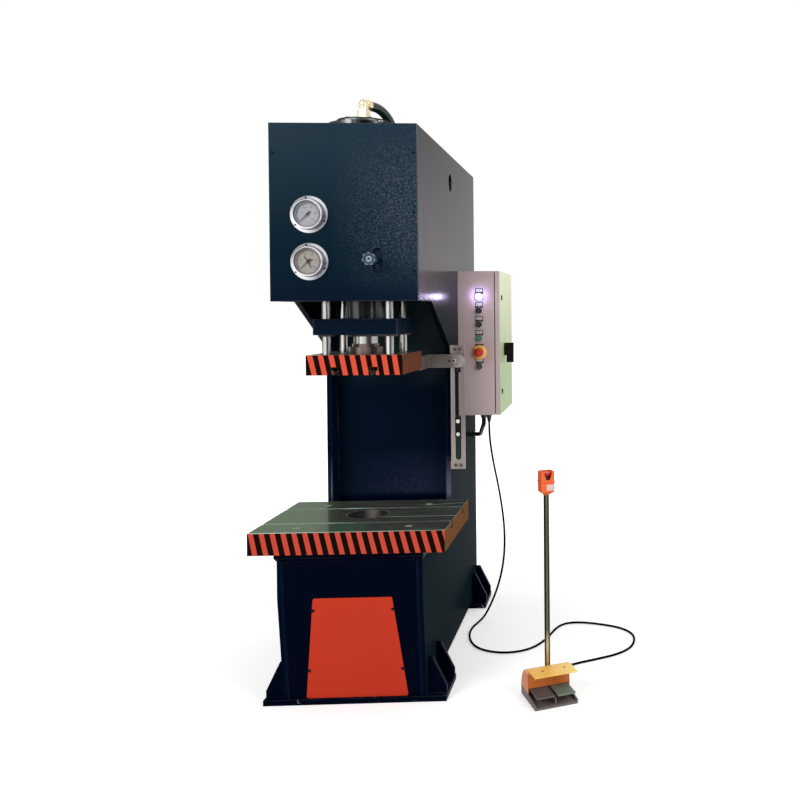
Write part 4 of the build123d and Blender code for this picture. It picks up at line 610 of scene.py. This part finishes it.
chrome = turned_chrome("hard_chrome", (0.78, 0.76, 0.73), (0.045, 0.045, 0.05), 0.12)
bright = bar_steel()
bolt_mat = steel("dark_bolt_steel", (0.07, 0.065, 0.062), rough=0.35, edge=0.0008, tint=(0.4, 0.4, 0.4))
zinc = steel("pale_zinc", (0.78, 0.68, 0.45), rough=0.25, edge=0.0008)
worked = turned_chrome("turned_steel", (0.12, 0.125, 0.12), (0.008, 0.009, 0.01), 0.25, side=-0.3,
                       streak=0.9)
cap_steel = steel("cap_steel", (0.062, 0.07, 0.062), rough=0.3, edge=0.001, tint=(0.25, 0.25, 0.25))
flange_steel = turned_chrome("flange_steel", (0.24, 0.175, 0.16), (0.04, 0.03, 0.028), 0.3, side=0.0)
bronze = steel("bearing_bronze", (0.05, 0.042, 0.03), rough=0.3, edge=0.0008)
stainless = steel("polished_stainless", (0.5, 0.5, 0.52), rough=0.12, scale=40, amount=0.08, edge=0.0008)
black = plastic("black_plastic", (0.012, 0.012, 0.013))
rubber = plastic("black_rubber", (0.004, 0.004, 0.004), rough=0.5, grain=0.2, spec=0.1)
handle_mat = plastic("handle_black", (0.002, 0.002, 0.002), rough=0.5, grain=0.1, spec=0.1)
jacket = plastic("cable_jacket", (0.0015, 0.0015, 0.0015), rough=0.6, grain=0.05, spec=0.0)
hose_mat = plastic("green_black_hose", (0.006, 0.017, 0.009), rough=0.16, grain=0.05, spec=0.5)
green = plastic("green_button", (0.03, 0.2, 0.11), rough=0.25)
red = plastic("red_button", (0.55, 0.022, 0.016), rough=0.22)
yellow = plastic("yellow_ring", (0.85, 0.48, 0.1), rough=0.35)
needle_mat = plastic("needle_black", (0.01, 0.01, 0.01), rough=0.4)
# The foot colour is a painted warm reflection at the bottom of the post
post_mat = turned_chrome("post_steel", (0.12, 0.12, 0.08), (0.01, 0.012, 0.008), 0.3, side=0.12, streak=0.4,
                         foot=(0.55, 0.42, 0.2))
pedal_mat = plain_paint("pedal_casting", (0.15, 0.12, 0.115), rough=0.5, amount=0.3, edge=0.0015)
box_mat = plain_paint("stop_box_orange", (0.8, 0.13, 0.035), rough=0.35, amount=0.12)
tread_mat = plastic("tread_rubber", (0.085, 0.07, 0.068), rough=0.6, grain=0.3)
lit_tread = plastic("tread_rubber_lit", (0.12, 0.165, 0.13), rough=0.5, grain=0.3)
iron = plain_paint("motor_iron", (0.05, 0.07, 0.11), rough=0.45, amount=0.3)
label_mat = plain_paint("label_pale", (0.68, 0.5, 0.48), rough=0.4, amount=0.1)
print_mat = plastic("print_black", (0.012, 0.012, 0.012), rough=0.5)
insert_mat = plastic("insert_pale", (0.55, 0.5, 0.5), rough=0.4)
pointer_mat = plastic("set_pointer_brown", (0.16, 0.08, 0.05), rough=0.4)


def dial_face():
    """Grey-white upper dial and a warmer lower one."""
    p = Paint("dial_white", (0.5, 0.51, 0.55), 0.4, spec=0.1)
    p.blend(p.along("Z", 1.65, 1.62), (0.47, 0.43, 0.39))
    p.blend(p.span(p.noise(30, 3), 0.4, 0.7, 0.0, 0.2), (0.42, 0.41, 0.41))
    p.bump(p.noise(400, 2), 0.04, 0.0002)
    return p.done()


def gauge_chrome():
    """Polished case rings with painted highlights on two opposite sides, bright and dark by radius, with
    dark screws on the flange.
    """
    p = Paint("gauge_chrome", (0.3, 0.31, 0.33), 0.14, metal=0.9, spec=0.1)
    between = sum(DIAL_Z) / 2
    middle = p.along("Z", between - 0.00025, between + 0.00025, DIAL_Z[1], DIAL_Z[0])
    radius = radius_from(p, DIAL_AT_X, middle)
    dx, dz = p.math("SUBTRACT", p.axis("X"), DIAL_AT_X), p.math("SUBTRACT", p.axis("Z"), middle)
    turn = p.math("DIVIDE", p.math("ADD", dx, dz), p.math("MAXIMUM", radius, 0.001))
    # Painted highlights on the lower left and the upper right of the rings
    p.blend(p.span(turn, -0.4, -1.2), (0.85, 0.86, 0.88))
    p.blend(p.span(turn, 0.9, 1.35, 0.0, 0.8), (0.7, 0.72, 0.74))
    p.blend(p.span(radius, 0.0465, 0.0445), (0.05, 0.05, 0.055))
    rim = p.times(p.span(radius, 0.0465, 0.0475), p.span(radius, 0.0505, 0.0495))
    p.blend(p.times(rim, 0.6), (0.8, 0.81, 0.83))
    groove = p.times(p.span(radius, 0.0508, 0.0514), p.span(radius, 0.0542, 0.0532))
    p.blend(p.times(groove, 0.8), (0.04, 0.042, 0.047))
    p.blend(p.times(p.span(radius, 0.0622, 0.0632), 0.6), (0.05, 0.055, 0.065))
    screws = p.times(p.span(radius, 0.0545, 0.0548), p.along("Y", -0.2782, -0.2786))
    p.blend(screws, (0.02, 0.02, 0.022))
    p.bump(p.noise(300, 2), 0.03, 0.0002, edge=0.0008)
    return p.done()


def star_knob():
    """Dark knob whose rim and centre are a light blue-grey."""
    p = Paint("knob_blue_grey", (0.02, 0.035, 0.05), 0.35, metal=0.3, spec=0.2)
    p.blend(p.times(p.worn_or_lit_edges(0.0013), 0.8), (0.2, 0.3, 0.38))
    hub = p.times(near_point(p, *KNOB_AT, 0.0085, 0.01),
                  near_point(p, *KNOB_AT, 0.0045, 0.006, near=0.0, far=1.0))
    p.blend(hub, (0.5, 0.6, 0.68))
    edge = near_point(p, *KNOB_AT, 0.0175, 0.019, near=0.0, far=1.0)
    p.blend(p.times(edge, 0.7), (0.14, 0.24, 0.33))
    p.blend(p.span(p.noise(60, 3), 0.5, 0.7, 0.0, 0.3), (0.08, 0.12, 0.16))
    p.bump(p.noise(300, 2), 0.05, 0.0003, edge=0.0008)
    return p.done()


def cabinet_paint():
    """Warm grey powder coat with painted light: lighter towards the door, with the lamp's light and the stop
    button's red glow around them.
    """
    p = Paint("cabinet_grey", CABINET, 0.36, spec=0.12)
    # Painted light: lighter towards the door
    p.blend(p.along("X", 0.27, 0.4), CABINET_LIGHT)
    p.blend(p.span(p.noise(3.0, 4), 0.35, 0.7, 0.0, 0.25), shade(CABINET, 0.85))
    p.blend(p.span(p.noise(24, 6, 0.65), 0.6, 0.78, 0.0, 0.1), (0.12, 0.1, 0.09))
    front = p.toward("Y", *FRONT_FACES)
    lamp = p.times(p.math("POWER", near_point(p, DEVICE_X, DEVICE_Z[0] + 0.006, 0.015, 0.06), 1.6), front)
    p.blend(p.times(lamp, 0.9), (0.7, 0.6, 1.0))
    p.set("Emission Color", (0.6, 0.45, 1.0, 1))
    p.join(p.times(lamp, 0.2), p.bsdf.inputs["Emission Strength"])
    # Painted red glow around the stop button
    stop = p.times(p.math("POWER", near_point(p, DEVICE_X, DEVICE_Z[4], 0.03, 0.085), 1.5), front)
    p.blend(p.times(stop, 0.45), (0.55, 0.2, 0.19))
    p.roughness(p.span(p.noise(9, 4), 0.3, 0.75, 0.3, 0.45))
    p.bump(p.noise(180, 2), 0.06, 0.0006, edge=0.0015)
    return p.done()


def door_paint():
    """Pale green powder coat with painted light, brighter towards the top, on a door with grey narrow sides.
    """
    p = Paint("door_pale", (0.32, 0.47, 0.185), 0.33, spec=0.06)
    # Painted light: brighter towards the top
    p.blend(p.along("Z", 1.1, 1.56), (0.96, 1.0, 0.65))
    p.blend(p.span(p.noise(5, 4), 0.35, 0.7, 0.0, 0.2), (0.5, 0.58, 0.4))
    p.blend(p.toward("X", 0.8, 0.4), CABINET_LIGHT)
    p.blend(p.times(p.worn_or_lit_edges(0.0015), 0.5), (0.2, 0.18, 0.17))
    p.bump(p.noise(180, 2), 0.06, 0.0006, edge=0.0015)
    return p.done()


def parted_steel(name, dark, light, letter, low, high, rough=0.3):
    """Dark fasteners, with those beyond a plane left bright."""
    p = Paint(name, dark, rough, spec=0.04)
    beyond = p.span(p.axis(letter), low, high)
    p.blend(beyond, light)
    p.metallic(beyond)
    p.roughness(p.span(p.noise(60, 4), 0.3, 0.7, rough * 0.8, rough * 1.3))
    p.bump(p.noise(240, 3), 0.08, 0.0004, edge=0.0008)
    return p


def frame_fasteners():
    """Screws painted over with the frame; the limit bar's, the table's and the cylinder's are bare steel."""
    p = parted_steel("frame_fasteners", (0.006, 0.009, 0.014), (0.2, 0.2, 0.19), "Z", 2.03, 2.04)
    p.blend(p.band("X", (0.25, 0.252), (0.315, 0.313)), (0.13, 0.1, 0.085))
    table = p.times(p.band("Z", (0.5, 0.51), (0.66, 0.65)), p.along("Y", -0.24, -0.235))
    p.blend(table, (0.3, 0.34, 0.27))
    return p.done()


def trip_bolt():
    """Dark slide fasteners; the trip arm's bolt is bright, with painted shade where its socket is."""
    p = parted_steel("slide_fasteners", (0.05, 0.045, 0.04), (0.36, 0.34, 0.32), "X", 0.24, 0.25)
    # Painted shade of the socket in the bright bolt's head
    socket = near_point(p, *ARM_BOLT_AT, 0.0045, 0.0055)
    p.blend(p.times(socket, p.along("X", 0.24, 0.25)), (0.012, 0.011, 0.011))
    return p.done()


def switch_cases():
    """Black cases whose lower pair of bolts is bright."""
    p = parted_steel("switch_cases", (0.01, 0.01, 0.011), (0.55, 0.56, 0.5), "Y", 0.3305, 0.3295)
    p.blend(p.along("Z", 1.05, 1.06), (0.02, 0.02, 0.02))
    lower = p.along("Z", 0.889, 0.87, 0.0, 0.6)
    p.blend(p.times(lower, p.along("Y", 0.3305, 0.3295)), (0.25, 0.26, 0.22))
    return p.done()


def arm_paint():
    """Grey-brown bare steel arm, brighter towards its end."""
    p = Paint("arm_steel", (0.13, 0.112, 0.1), 0.34, metal=0.35, spec=0.1)
    p.blend(p.along("X", 0.258, 0.29), (0.36, 0.32, 0.3))
    p.blend(p.span(p.noise(26, 5), 0.5, 0.7, 0.0, 0.4), (0.09, 0.075, 0.065))
    p.blend(p.times(p.worn_or_lit_edges(0.002), 0.6), (0.4, 0.38, 0.36))
    p.bump(p.noise(160, 3), 0.08, 0.0005, edge=0.001)
    return p.done()


def clear_glass():
    """Thin glass: mostly see-through, with a clear gloss."""
    mat = bpy.data.materials.new("gauge_glass")
    tree = empty_tree(mat)
    out = tree.nodes.new("ShaderNodeOutputMaterial")
    clear = tree.nodes.new("ShaderNodeBsdfTransparent")
    gloss = tree.nodes.new("ShaderNodeBsdfGlossy")
    gloss.inputs["Roughness"].default_value = 0.04
    fresnel = tree.nodes.new("ShaderNodeFresnel")
    fresnel.inputs["IOR"].default_value = 1.35
    mix = tree.nodes.new("ShaderNodeMixShader")
    for source, socket in zip((fresnel, clear, gloss), mix.inputs):
        tree.links.new(source.outputs[0], socket)
    tree.links.new(mix.outputs[0], out.inputs[0])
    return mat


def lamp_lens():
    p = Paint("lamp_lens", (0.9, 0.88, 0.98), 0.3)
    p.set("Emission Color", (0.72, 0.6, 1.0, 1))
    glow = p.span(p.cells(420), 0.0, 0.6, 80.0, 60.0)
    p.join(glow, p.bsdf.inputs["Emission Strength"])
    return p.done()


def guard_paint():
    """Orange enamel with painted light and shade: yellow on the lid and lighter towards the right, darker
    orange where the front wall turns down; worn at its edges.
    """
    p = Paint("guard_enamel", (0.88, 0.47, 0.08), 0.33, spec=0.15)
    # Painted light on the lid, lighter towards the right, and painted shade on the wall below it
    p.blend(p.along("X", 0.68, 0.78), (0.95, 0.7, 0.2))
    down = p.along("Z", 0.1, 0.094)
    p.blend(down, (0.6, 0.16, 0.035))
    p.blend(p.span(p.noise(16, 5), 0.5, 0.75, 0.0, 0.3), (0.72, 0.34, 0.06))
    chips = p.times(p.worn_or_lit_edges(0.002), p.span(p.noise(120, 5), 0.55, 0.6))
    p.blend(chips, (0.2, 0.16, 0.12))
    p.bump(p.noise(150, 3), 0.08, 0.0006, edge=0.0015)
    return p.done()


DRESS = {
    navy: ("head_front_plate", "top_plate", "back_plate", "column_web", "bed_top_plate",
           "bed_front_plate", "feet", "guide_block", "valve_manifold"),
    side_navy: ("left_side_plate", "right_side_plate"),
    machine_dark: ("oil_tank",),
    worked: ("cylinder_barrel",),
    cap_steel: ("cylinder_cap",),
    cover_red: ("front_cover",),
    table_mat: ("table",),
    platen_mat: ("platen",),
    chrome: ("ram", "guide_rods"),
    flange_steel: ("ram_flange",),
    bright: ("limit_bar", "limit_bar_brackets", "door_hinges"),
    bolt_mat: ("upper_door_lock", "lower_door_lock", "key_switch"),
    frame_fasteners(): ("frame_bolts",),
    trip_bolt(): ("platen_fasteners",),
    switch_cases(): ("limit_switches",),
    zinc: ("elbow_fitting",),
    bronze: ("slide_bearings",),
    gauge_chrome(): ("gauge_cases",),
    arm_paint(): ("trip_arm",),
    cabinet_paint(): ("cabinet_box",),
    door_paint(): ("cabinet_door",),
    star_knob(): ("valve_knob",),
    handle_mat: ("main_switch_handle",),
    black: ("control_collars", "upper_selector", "lower_selector", "cable_glands", "control_gear"),
    rubber: ("conduit",),
    hose_mat: ("top_hose",),
    green: ("start_button",),
    red: ("stop_mushroom", "stop_button"),
    needle_mat: ("upper_gauge_needle", "lower_gauge_needle"),
    post_mat: ("pedal_post",),
    pedal_mat: ("pedal_base",),
    box_mat: ("stop_box",),
    tread_mat: ("left_tread",),
    lit_tread: ("right_tread",),
    iron: ("motor_pump",),
    dial_face(): ("gauge_dials",),
    clear_glass(): ("gauge_glasses",),
    lamp_lens(): ("signal_lamp",),
    guard_paint(): ("pedal_guard",),
}
for material, names in DRESS.items():
    for name in names:
        for slot in NODES[name].material_slots:
            slot.material = material


# Pedal cable on the floor
PEDAL_AT = Vector((0.643, -0.304, 0.0))
PEDAL_TURN = math.radians(21.5)
PEDAL_U = Vector((math.cos(PEDAL_TURN), math.sin(PEDAL_TURN), 0))
PEDAL_V = Vector((-math.sin(PEDAL_TURN), math.cos(PEDAL_TURN), 0))
CABLE_D = 0.009
LIE = CABLE_D / 2


def pedal(u, v, z):
    return PEDAL_AT + u * PEDAL_U + v * PEDAL_V + z * Z


CABLE_ROUTE = [
    (0.364, 0.675, 0.890), (0.364, 0.675, 0.840), (0.371, 0.676, 0.770), (0.384, 0.678, 0.690),
    (0.402, 0.681, 0.600), (0.418, 0.682, 0.500), (0.428, 0.681, 0.400), (0.427, 0.679, 0.300),
    (0.414, 0.678, 0.210), (0.391, 0.679, 0.130), (0.364, 0.677, 0.066), (0.337, 0.661, 0.016),
    (0.313, 0.613, LIE), (0.299, 0.556, LIE), (0.297, 0.478, LIE), (0.316, 0.386, LIE),
    (0.355, 0.307, LIE), (0.416, 0.259, LIE), (0.487, 0.243, LIE), (0.556, 0.265, LIE),
    (0.606, 0.325, LIE), (0.640, 0.415, LIE), (0.664, 0.520, LIE), (0.699, 0.581, LIE),
    (0.765, 0.592, LIE), (0.856, 0.560, LIE), (0.946, 0.507, LIE), (0.996, 0.434, LIE),
    (1.005, 0.350, LIE), (0.985, 0.262, LIE), (0.930, 0.196, LIE), (0.846, 0.150, LIE),
    (0.764, 0.110, LIE), (0.692, 0.054, LIE), tuple(pedal(0.110, 0.263, 0.020)),
    tuple(pedal(0.110, 0.213, 0.020)),
]


def pedal_cable():
    curve = bpy.data.curves.new("cable", "CURVE")
    curve.dimensions = "3D"
    curve.bevel_depth = CABLE_D / 2
    curve.bevel_resolution = 4
    curve.resolution_u = 12
    curve.use_fill_caps = True
    spline = curve.splines.new("NURBS")
    spline.points.add(len(CABLE_ROUTE) - 1)
    for point, at in zip(spline.points, CABLE_ROUTE):
        point.co = (*at, 1)
    spline.order_u = 3
    spline.use_endpoint_u = True
    curve.materials.append(jacket)
    obj = bpy.data.objects.new("cable_jacket", curve)
    bpy.context.collection.objects.link(obj)
    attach(obj, "frame")
    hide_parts("pedal_cable")


pedal_cable()


# Gauge dials: scale arc, ticks and plain numbers, in degrees and metres
SWEEP_START, SWEEP = 225, 270
TICKS, TICKS_A_NUMBER, ARC_STEPS = 50, 10, 60
ARC_IN, ARC_OUT = 0.038, 0.0388
LONG_TICK, SHORT_TICK = (0.031, 0.0006), (0.0345, 0.0003)
NUMBER_RADIUS, NUMBER_SIZE = 0.0255, 0.0075


def spoke(degrees):
    """Directions outwards and across at an angle on a dial."""
    turn = math.radians(degrees)
    return Vector((math.cos(turn), 0, math.sin(turn))), Vector((-math.sin(turn), 0, math.cos(turn)))


def dial_marks(name, z, step):
    """Printed scale: a thin arc, long and short ticks and a number at each long one."""
    bm = bmesh.new()
    centre = Vector((DIAL_AT_X, DIAL_FACE_Y, z))
    for k in range(TICKS + 1):
        out, across = spoke(SWEEP_START - SWEEP * k / TICKS)
        inner, half = SHORT_TICK if k % TICKS_A_NUMBER else LONG_TICK
        add_prism(bm, rectangle(inner, ARC_IN, -half, half), 0, PRINT_DEPTH, out, across, -Y, centre)
    arc = [math.radians(SWEEP_START - SWEEP * k / ARC_STEPS) for k in range(ARC_STEPS + 1)]
    for a, b in zip(arc, arc[1:]):
        corners = ((ARC_IN, a), (ARC_OUT, a), (ARC_OUT, b), (ARC_IN, b))
        outline = [(r * math.cos(t), r * math.sin(t)) for r, t in corners]
        add_prism(bm, outline, 0, PRINT_DEPTH, X, Z, -Y, centre)
    shaped(name + "_scale", bm, print_mat, slot="dial_white", smooth=False)
    for k in range(TICKS // TICKS_A_NUMBER + 1):
        out, _ = spoke(SWEEP_START - SWEEP * k * TICKS_A_NUMBER / TICKS)
        at = centre + NUMBER_RADIUS * out - PRINT_DEPTH * Y
        mesh = text_mesh(f"{name}_number_{k}", str(k * step), NUMBER_SIZE, at, X, Z)
        piece(f"{name}_number_{k}", mesh, print_mat, slot="dial_white", smooth=False)


def set_pointers():
    """Brown set pointers and their hub on the lower dial, under the needle."""
    bm = bmesh.new()
    centre = Vector((DIAL_AT_X, DIAL_FACE_Y, DIAL_Z[1]))
    root_half, tip_half, back, face = 0.004, 0.0022, 0.0003, 0.0006
    hub_radius, hub_back, hub_face = 0.008, 0.0002, 0.0007
    for degrees, reach in ((128, 0.022), (-68, 0.024), (20, 0.017)):
        out, across = spoke(degrees)
        outline = [(0, -root_half), (reach, -tip_half), (reach, tip_half), (0, root_half)]
        add_prism(bm, outline, back, face, out, across, -Y, centre)
    add_prism(bm, circle(hub_radius, 24), hub_back, hub_face, X, Z, -Y, centre)
    shaped("set_pointers", bm, pointer_mat, slot="dial_white", smooth=False)


dial_marks("upper_dial", DIAL_Z[0], 5)
dial_marks("lower_dial", DIAL_Z[1], 8)
set_pointers()


# Weld beads where the plates meet
WELD_RADIUS, WELD_STEP = 0.0035, 0.0045
THIN_RING, RIPPLE, CHANCE = 0.82, 0.18, 0.08


def weld(name, start, end):
    """Rippled bead between two points, each ring a little thicker or thinner by chance."""
    start, end = Vector(start), Vector(end)
    count = max(4, int((end - start).length / WELD_STEP))
    points, radii = [], []
    for k in range(count + 1):
        points.append(start.lerp(end, k / count))
        radii.append(WELD_RADIUS * (THIN_RING + RIPPLE * (k % 2) + random.uniform(-CHANCE, CHANCE)))
    bm = bmesh.new()
    add_tube(bm, points, radii)
    shaped(name, bm, navy, slot="frame_paint")


BED_SEAM = 0.5555
WELDS = [((x, WEB_FRONT, WEB_FOOT), (x, WEB_FRONT, WEB_TOP)) for x in (-WEB_HALF, WEB_HALF)]
WELDS.append(((-WEB_HALF, WEB_FRONT, BED_SEAM), (WEB_HALF, WEB_FRONT, BED_SEAM)))
for x in (-SIDE_FACE, SIDE_FACE):
    for front_end, rear_end in ((-0.19, 0.0), (0.835, 1.03)):
        WELDS.append(((x, front_end, FOOT_TOP), (x, rear_end, FOOT_TOP)))
for k, (start, end) in enumerate(WELDS):
    weld(f"weld_{k}", start, end)


# Stop box on the pedal's post: black contact block and a bare label
STOP_BOX_AT = (0.086, 0.130)


def stop_box_trim():
    centre = pedal(*STOP_BOX_AT, 0)
    outer, bore, low, high = 0.0145, 0.0062, 0.7745, 0.7873
    bm = bmesh.new()
    rings = [[bm.verts.new(centre + x * PEDAL_U + y * PEDAL_V + z * Z) for x, y in circle(radius, 28)]
             for radius, z in ((outer, low), (outer, high), (bore, high), (bore, low))]
    bridge(bm, rings + rings[:1])
    shaped("stop_contact_block", bm, black, slot="black_plastic", smooth=False)
    bm = bmesh.new()
    label, box_face, label_face = rectangle(-0.006, 0.0215, 0.741, 0.763), 0.02503, 0.0256
    add_prism(bm, label, box_face, label_face, PEDAL_U, Z, -PEDAL_V, centre)
    shaped("stop_box_label", bm, label_mat, slot="box_paint", smooth=False)


stop_box_trim()


def lid_screws():
    """Two pan heads that hold the pedal guard's lid."""
    lid_top, profile = 0.1151, ((0.0038, 0.0), (0.0036, 0.0011), (0.0022, 0.0016))
    for k, (u, v) in enumerate(((0.042, 0.05), (0.124, 0.053))):
        bm = bmesh.new()
        centre = pedal(u, v, lid_top)
        rings = [add_ring(bm, centre + z * Z, PEDAL_U, PEDAL_V, radius, 20) for radius, z in profile]
        bridge(bm, rings)
        bm.faces.new(rings[-1])
        shaped(f"lid_screw_{k}", bm, bolt_mat, slot="guard_paint")


lid_screws()


# Legend plates and rings of the control devices
LEGEND_RISE, PLATE_THICK, LETTER_HEIGHT = 0.0265, 0.0012, 0.009
INSERT_HALF_WIDE, INSERT_HALF_HIGH, INSERT_THICK = 0.0135, 0.0065, 0.0003
COLLAR_DEEP = 0.008


def legend(k, words):
    """Pale insert in the dark legend plate with plain words."""
    at = Vector((DEVICE_X, CABINET_FRONT - PLATE_THICK, DEVICE_Z[k] + LEGEND_RISE))
    bm = bmesh.new()
    outline = rectangle(-INSERT_HALF_WIDE, INSERT_HALF_WIDE, -INSERT_HALF_HIGH, INSERT_HALF_HIGH)
    add_prism(bm, outline, 0, INSERT_THICK, X, Z, -Y, at)
    shaped(f"legend_insert_{k}", bm, insert_mat, slot="black_plastic", smooth=False)
    mesh = text_mesh(f"legend_{k}", words, LETTER_HEIGHT, at - (INSERT_THICK + 0.0001) * Y, X, Z)
    piece(f"legend_{k}", mesh, print_mat, slot="black_plastic", smooth=False)


def turned_ring(name, centre, section, count, mat):
    """Thin shell turned round an axis along Y: its section lists radius and depth."""
    bm = bmesh.new()
    bridge(bm, [add_ring(bm, centre + y * Y, X, Z, radius, count) for radius, y in section])
    shaped(name, bm, mat, slot="black_plastic")


def collar_ring(k):
    """Bright turned rim on the front of a device's collar."""
    centre = Vector((DEVICE_X, CABINET_FRONT - COLLAR_DEEP, DEVICE_Z[k]))
    section = ((0.0128, 0.0), (0.0131, -0.0008), (0.0149, -0.0008), (0.0153, 0.0), (0.0153, 0.003))
    turned_ring(f"collar_ring_{k}", centre, section, 40, stainless)


for k, words in ((0, "I"), (1, "0   1"), (2, "0   1"), (3, "ON"), (5, "0   1")):
    legend(k, words)
    collar_ring(k)


def stop_ring():
    """Yellow disc round the emergency stop, over the collar's dark ring."""
    centre = Vector((DEVICE_X, CABINET_FRONT, DEVICE_Z[4]))
    section = ((0.0155, -0.0033), (0.0308, -0.0033), (0.0312, -0.0026), (0.0312, 0.0002))
    turned_ring("stop_ring_face", centre, section, 48, yellow)


stop_ring()


# Floor, light and world
FLOOR_SIZE, FLOOR_DROP, FLOOR_GREY = 60, 0.0005, 0.8
GLOW_RADII, GLOW_LEVELS = (1.5, 4.0), (0.4, 0.9)
WORLD_LIGHT, WORLD_SEEN = 0.55, 1.0


def seen_rays(tree):
    """1 for what the camera, a mirror or a glass sees, 0 for the light that falls on the press."""
    path = tree.nodes.new("ShaderNodeLightPath")
    seen = path.outputs["Is Camera Ray"]
    for ray in ("Is Glossy Ray", "Is Transmission Ray"):
        either = tree.nodes.new("ShaderNodeMath")
        either.operation = "MAXIMUM"
        tree.links.new(seen, either.inputs[0])
        tree.links.new(path.outputs[ray], either.inputs[1])
        seen = either.outputs[0]
    return seen


def build_floor():
    """Pale floor that glows towards its far parts, so that it melts into the white world."""
    bpy.ops.mesh.primitive_plane_add(size=FLOOR_SIZE, location=(0, 0, -FLOOR_DROP))
    floor = bpy.context.object
    floor.name = "floor"
    mat = bpy.data.materials.new("pale_floor")
    tree = empty_tree(mat)
    out = tree.nodes.new("ShaderNodeOutputMaterial")
    diffuse = tree.nodes.new("ShaderNodeBsdfDiffuse")
    diffuse.inputs["Color"].default_value = (FLOOR_GREY, FLOOR_GREY, FLOOR_GREY, 1)
    glow = tree.nodes.new("ShaderNodeEmission")
    place = tree.nodes.new("ShaderNodeTexCoord")
    far = tree.nodes.new("ShaderNodeVectorMath")
    far.operation = "LENGTH"
    tree.links.new(place.outputs["Object"], far.inputs[0])
    level = spread(tree, far.outputs["Value"], *GLOW_RADII, *GLOW_LEVELS)
    amount = tree.nodes.new("ShaderNodeMath")
    amount.operation = "MULTIPLY"
    tree.links.new(seen_rays(tree), amount.inputs[0])
    tree.links.new(level, amount.inputs[1])
    tree.links.new(amount.outputs[0], glow.inputs["Strength"])
    add = tree.nodes.new("ShaderNodeAddShader")
    tree.links.new(diffuse.outputs[0], add.inputs[0])
    tree.links.new(glow.outputs[0], add.inputs[1])
    tree.links.new(add.outputs[0], out.inputs[0])
    floor.data.materials.append(mat)


def build_world():
    """White to the camera and in mirrors, dimmer as a light."""
    world = bpy.data.worlds.new("studio")
    bpy.context.scene.world = world
    tree = empty_tree(world)
    out = tree.nodes.new("ShaderNodeOutputWorld")
    back = tree.nodes.new("ShaderNodeBackground")
    back.inputs["Color"].default_value = (1, 1, 1, 1)
    level = spread(tree, seen_rays(tree), 0.0, 1.0, WORLD_LIGHT, WORLD_SEEN)
    tree.links.new(level, back.inputs["Strength"])
    tree.links.new(back.outputs[0], out.inputs[0])


def area_light(name, at, aim, size, power, mirrored=True):
    data = bpy.data.lights.new(name, "AREA")
    data.shape = "RECTANGLE"
    data.size, data.size_y = size
    data.energy = power
    light = bpy.data.objects.new(name, data)
    bpy.context.collection.objects.link(light)
    light.location = at
    light.rotation_euler = (Vector(aim) - Vector(at)).to_track_quat("-Z", "Y").to_euler()
    light.visible_glossy = mirrored


build_floor()
build_world()
area_light("key", (-2.6, -4.0, 3.6), (0, 0, 1.0), (2.4, 2.4), 150)
area_light("fill", (3.6, -3.2, 2.6), (0.2, 0.2, 0.9), (2.0, 2.6), 80)
area_light("rear", (0.5, 4.5, 3.4), (0, 0.5, 1.0), (3.0, 2.0), 70, mirrored=False)

bpy.context.scene.view_settings.view_transform = "Standard"
